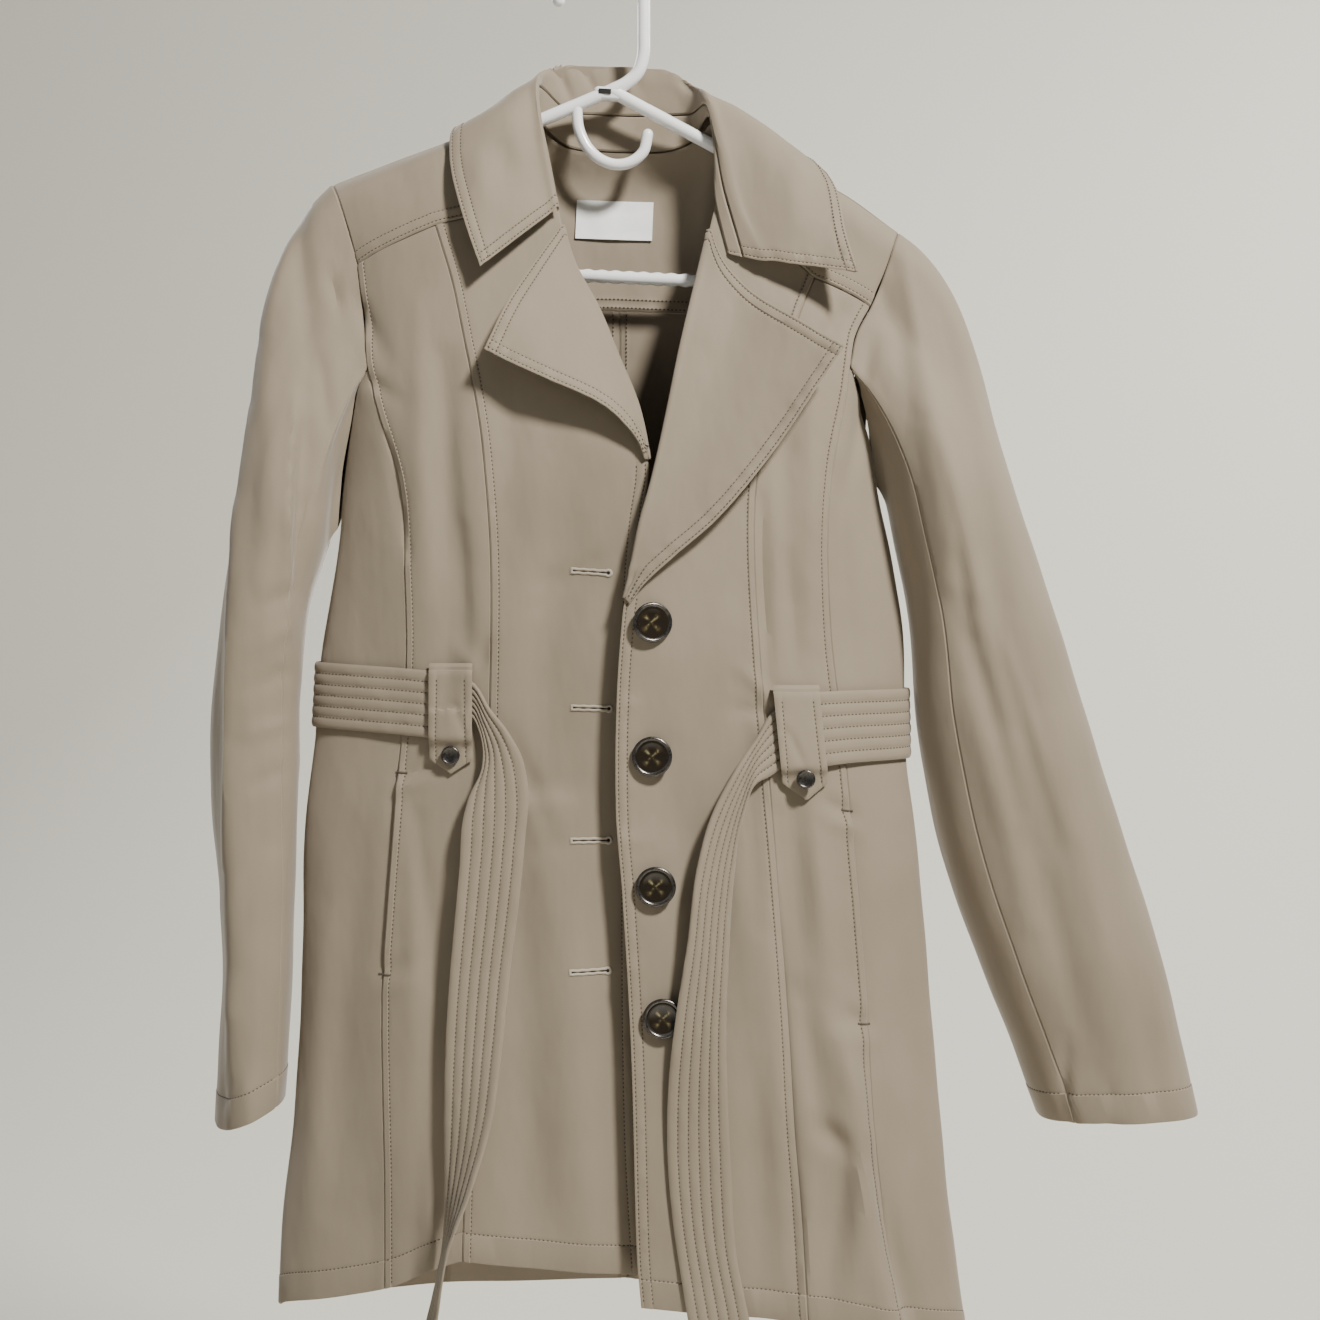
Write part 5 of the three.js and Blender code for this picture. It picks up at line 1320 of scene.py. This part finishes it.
def tape_look():
    made, tree, shader = material("label_tape", (0.78, 0.78, 0.75), 0.55)
    place = place_input(tree)
    weave = add_node(tree, "ShaderNodeTexWave", Scale=380.0, Distortion=0.6)
    weave.bands_direction = "Z"
    tree.links.new(place, weave.inputs["Vector"])
    bump(tree, shader, weave.outputs["Fac"], 0.25, 0.0003)
    mottle(tree, shader, "Base Color", place, 60.0, 2, (0.74, 0.74, 0.71), (0.83, 0.83, 0.8))
    return made


LABEL = dict(x=10, z=-185, width=57, height=29)
TAPE = 1.0  # thickness
TAPE_LIFT = 1.6  # its outside's distance from the yoke
INSIDE_Y = -45  # inside the neck, between the fronts and the back
grid = np.zeros((15, 25, 3))
for i, down in enumerate(np.linspace(0.5, -0.5, 15)):
    for j, share in enumerate(np.linspace(-0.5, 0.5, 25)):
        x = LABEL["x"] + LABEL["width"] * share + 1.2 * down
        z = LABEL["z"] + LABEL["height"] * down - 1.6 * share
        curl = 0.35 * math.sin(7 * share + 2) * (0.5 - down) + 0.5 * bell(down + 0.5, 0.12)
        grid[i, j] = surface_at("yoke_back", x, z, INSIDE_Y) - [0, TAPE_LIFT + curl, 0]
label = mesh_object("label_tape_face", *wall(grid, grid - grid_normals(grid) * TAPE), tape_look(),
                    "label_tape", "label", 40)

# ---------------------------------------------------------------- hanger and wall hook

TUBE = 4.75  # radius
HANGER_Y = -45
HUB = (8, -97)
TILT, SLOPE = math.radians(2.7), math.radians(25.6)  # of the whole hanger, and of its arms
REACH, BAR_DROP = 200, 136  # from the hub to an arm's end, and down to the bar
CROOK_RADIUS, CROOK_Z = 32, -20
HUB_REACH = 30  # where the hub's stubs end and the arms start
END_RADIUS = (BAR_DROP - math.tan(SLOPE) * REACH) / (1 + 1 / math.cos(SLOPE) - math.tan(SLOPE))


def on_hanger(x, z):
    """A point of the hanger, which hangs tilted, from its distances from the hub."""
    c, s = math.cos(TILT), math.sin(TILT)
    return (HUB[0] + x * c + z * s, HANGER_Y, HUB[1] - x * s + z * c)


def plastic_look():
    made, tree, shader = material("hanger_plastic", (0.8, 0.8, 0.79), 0.22)
    shader.inputs["Coat Weight"].default_value = 0.4
    shader.inputs["Coat Roughness"].default_value = 0.12
    place = place_input(tree)
    mottle(tree, shader, "Base Color", place, 12.0, 3, (0.76, 0.76, 0.745), (0.84, 0.84, 0.83))
    bump(tree, shader, noise(tree, place, 90.0, 2), 0.08, 0.001)
    return made


def steel_look():
    made, tree, shader = material("hook_steel", (0.6, 0.6, 0.58), 0.36, 1.0)
    place = place_input(tree)
    mottle(tree, shader, "Roughness", stretched(tree, place, (3, 3, 0.15)), 400.0, 2, 0.3, 0.44)
    mottle(tree, shader, "Base Color", place, 30.0, 2, (0.55, 0.55, 0.54), (0.64, 0.64, 0.63))
    return made


TUBE_SIDES = 24


def rounded(points, radius, steps, tips=(True, True), sides=TUBE_SIDES, bulge=1.0, **options):
    """A tube along a smooth curve, with round tips at its first and last end where tips says so."""
    line = evenly(points, steps)
    size = np.full(len(line), radius, float)
    for tip, end in zip(tips, (0, -1)):
        if not tip:
            continue
        way = line[end] - line[1 if end == 0 else -2]
        way = way / np.linalg.norm(way)
        angles = np.radians([30, 55, 75, 88])
        extra = line[end] + way * radius * bulge * np.sin(angles)[:, None]
        small = radius * np.cos(angles)
        if end == 0:
            line, size = np.vstack([extra[::-1], line]), np.append(small[::-1], size)
        else:
            line, size = np.vstack([line, extra]), np.append(size, small)
    return sweep(line, size, sides, **options)


EDGE_TICKS = np.linspace(0, 0.34, 5)


def soft_box(centre, half, edge, turn=0.0):
    """A box with round edges, from a cube's grid pulled onto them."""
    pieces = []
    ticks = np.concatenate([-1 + EDGE_TICKS, 1 - EDGE_TICKS[::-1]])
    for axis in range(3):
        for way in (-1, 1):
            u, v = np.meshgrid(ticks, ticks, indexing="ij")
            cube = np.zeros((*u.shape, 3))
            cube[..., axis] = way
            cube[..., (axis + 1) % 3], cube[..., (axis + 2) % 3] = u, v
            point = cube * half
            core = np.clip(point, -(np.array(half) - edge), np.array(half) - edge)
            point = core + unit(point - core) * edge
            faces = grid_faces(len(ticks), len(ticks), flip=way > 0)
            pieces.append((point.reshape(-1, 3), faces.tolist()))
    points, faces = joined(pieces)
    c, s = math.cos(turn), math.sin(turn)
    points = points @ np.array([[c, 0, -s], [0, 1, 0], [s, 0, c]])
    return points + centre, faces


def in_plane(points):
    """Points of the hanger's plane from X and Z."""
    return np.array([(x, HANGER_Y, z) for x, z in points])


SHAFT = [(8, -97), (20, -91), (27.5, -84), (31.5, -73), (32.2, -55), (32.2, -35)]
SMALL_HOOK = [(-17, -107), (-15, -126), (-8.5, -139), (0, -147), (12, -151), (23, -149),
              (31.5, -142), (35, -129)]
SMALL_TUBE = 4.1
STUB_TUBE = TUBE - 0.08
HUB_TURN = 0.06
plastic = plastic_look()
crook = [(CROOK_RADIUS * math.cos(a), CROOK_Z + CROOK_RADIUS * math.sin(a))
         for a in np.linspace(0, math.radians(200), 22)]
top = [rounded(in_plane(SHAFT + crook), TUBE, 90),
       rounded(in_plane(SMALL_HOOK), SMALL_TUBE, 50, (False, True))]
for way in (-1, 1):
    stub = [on_hanger(way * HUB_REACH * share, -math.tan(SLOPE) * HUB_REACH * share)
            for share in (0, 0.5, 1)]
    top.append(rounded(stub, STUB_TUBE, 8, (True, False)))
top.append(soft_box((6.5, HANGER_Y, -99.5), (11.5, 4.6, 5.4), 4.5, HUB_TURN))
mesh_object("hanger_top_body", *joined(top), plastic, "hanger_plastic", "hanger_top", 35)
# a dark inset on the hub, painted shade of its recessed slot
slot_shade_box = soft_box((3.8, HANGER_Y - 4.7, -98.8), (4.6, 0.4, 1.9), 0.35, HUB_TURN)
mesh_object("hanger_slot_shade", *slot_shade_box, painted_shade_material, "hanger_plastic")

ARM_START = HUB_REACH - 3
bend_x, bend_z = REACH - END_RADIUS, END_RADIUS - BAR_DROP  # centre of an arm's round end
for way, name in ((-1, "hanger_arm_right"), (1, "hanger_arm_left")):
    points = []
    for share in (0, 0.25, 0.5, 0.75, 0.97):
        x = mix(ARM_START, bend_x + END_RADIUS * math.sin(SLOPE), share)
        points.append(on_hanger(way * x, -math.tan(SLOPE) * x))
    for angle in np.linspace(math.pi / 2 - SLOPE, -math.pi / 2, 12):
        points.append(on_hanger(way * (bend_x + END_RADIUS * math.cos(angle)),
                                bend_z + END_RADIUS * math.sin(angle)))
    mesh_object(f"{name}_body", *rounded(points, TUBE, 80, (False, False)), plastic,
                "hanger_plastic", name, 35)

BAR_TUBE, BAR_STEPS = TUBE - 0.35, 300
GRIP_PITCH = 10.2  # of the humps along the bar's upper and lower edge
BARE = 20  # stretch without them at each end
reach = bend_x - 1.2
places = np.linspace(-reach, reach, BAR_STEPS)
middle = np.array([on_hanger(x, -BAR_DROP) for x in places])
points, faces = sweep(middle, BAR_TUBE, TUBE_SIDES)
rings = points.reshape(BAR_STEPS, TUBE_SIDES, 3)
rise = rings[..., 2] - middle[:, None, 2]
grip = (1.1 * abs(np.cos(math.pi * places / GRIP_PITCH)) - 0.5) * (abs(places) < reach - BARE)
rings[..., 2] += np.sign(rise) * grip[:, None] * (abs(rise) > 0.93 * BAR_TUBE)
mesh_object("hanger_bar_body", points, faces, plastic, "hanger_plastic", "hanger_bar", 35)

PRONG = 5.0  # radius
CARRY_Z = CROOK_Z + CROOK_RADIUS - TUBE - 0.3 - PRONG  # the prong's middle, under the crook
prong = [(0, y, CARRY_Z + up) for y, up in (
    (-2, -8), (-16, -5), (-30, -0.6), (-38, 0), (-52, 0), (-62, 4), (-69, 14), (-71, 20))]
hook = [soft_box((0, -2, 0), (17, 2, 14), 0.9),
        rounded(prong, PRONG, 60, (False, True), 28, bulge=0.6, across=(1, 0, 0))]
mesh_object("wall_hook_body", *joined(hook), steel_look(), "hook_metal", "wall_hook", 35)

# ---------------------------------------------------------------- camera, stage and light


# in metres, as are the stage and the lights
CAMERA_PLACE = (0.044, -1.35, -0.513)
HALF_VIEW = 462 / 1250  # half the picture's width at a distance of 1
SENSOR_MM = 36


def camera():
    """Looks level and straight at the wall."""
    data = bpy.data.cameras.new("camera")
    data.sensor_width = SENSOR_MM
    data.lens = SENSOR_MM / 2 / HALF_VIEW
    made = bpy.data.objects.new("camera", data)
    made.location = CAMERA_PLACE
    made.rotation_euler = (math.pi / 2, 0, 0)
    collection.objects.link(made)
    bpy.context.scene.camera = made


def area_light(name, place, target, size, power_w, colour=(1, 1, 1)):
    data = bpy.data.lights.new(name, "AREA")
    data.shape = "DISK"
    data.size = size
    data.energy = power_w
    data.color = colour
    made = bpy.data.objects.new(name, data)
    made.location = place
    way = np.array(target) - np.array(place)
    made.rotation_euler = Vector(way).to_track_quat("-Z", "Y").to_euler()
    collection.objects.link(made)


FLOOR_Z, FLOOR_START, BEND_START, BEND_RADIUS = -1.6, -6, 1.6, 1.4
BACKDROP_TOP, HALF_WIDTH = 4.0, 7.0


def stage():
    """A pale floor that sweeps up into a backdrop, well behind the coat."""
    profile = [(FLOOR_START, FLOOR_Z), (BEND_START, FLOOR_Z)]
    profile += [(BEND_START + BEND_RADIUS * math.sin(a), FLOOR_Z + BEND_RADIUS * (1 - math.cos(a)))
                for a in np.linspace(0.1, math.pi / 2, 10)]
    profile += [(BEND_START + BEND_RADIUS, BACKDROP_TOP)]
    vertices = [(x, y, z) for y, z in profile for x in (-HALF_WIDTH, HALF_WIDTH)]
    faces = [(2 * k, 2 * k + 1, 2 * k + 3, 2 * k + 2) for k in range(len(profile) - 1)]
    mesh = bpy.data.meshes.new("backdrop")
    mesh.from_pydata(vertices, [], faces)
    made, _, _ = material("backdrop", (0.78, 0.755, 0.665), 0.9)
    mesh.materials.append(made)
    mesh.polygons.foreach_set("use_smooth", [True] * len(mesh.polygons))
    thing = bpy.data.objects.new("backdrop", mesh)
    collection.objects.link(thing)


camera()
stage()
COAT_MIDDLE = (0.05, -0.06, -0.5)
area_light("key", (1.25, -1.75, 1.4), COAT_MIDDLE, 0.42, 170, (1.0, 0.985, 0.955))
area_light("fill", (-1.6, -1.6, 0.2), COAT_MIDDLE, 1.6, 4, (0.95, 0.97, 1.0))
area_light("behind", (-1.6, 1.5, 0.8), COAT_MIDDLE, 1.4, 40)
area_light("wall", (2.6, 0.9, 0.9), (1.1, 3.0, -0.4), 1.2, 70, (1.0, 0.99, 0.96))
world = bpy.data.worlds.new("world")
world.use_nodes = True
sky = world.node_tree.nodes["Background"]
sky.inputs["Color"].default_value = (0.9, 0.92, 0.95, 1)
sky.inputs["Strength"].default_value = 0.15
bpy.context.scene.world = world

# all stitches in the dark colour that paints the shade of their needle holes
for group in stitch_groups:
    make_stitches(group, stitch_shade_material)
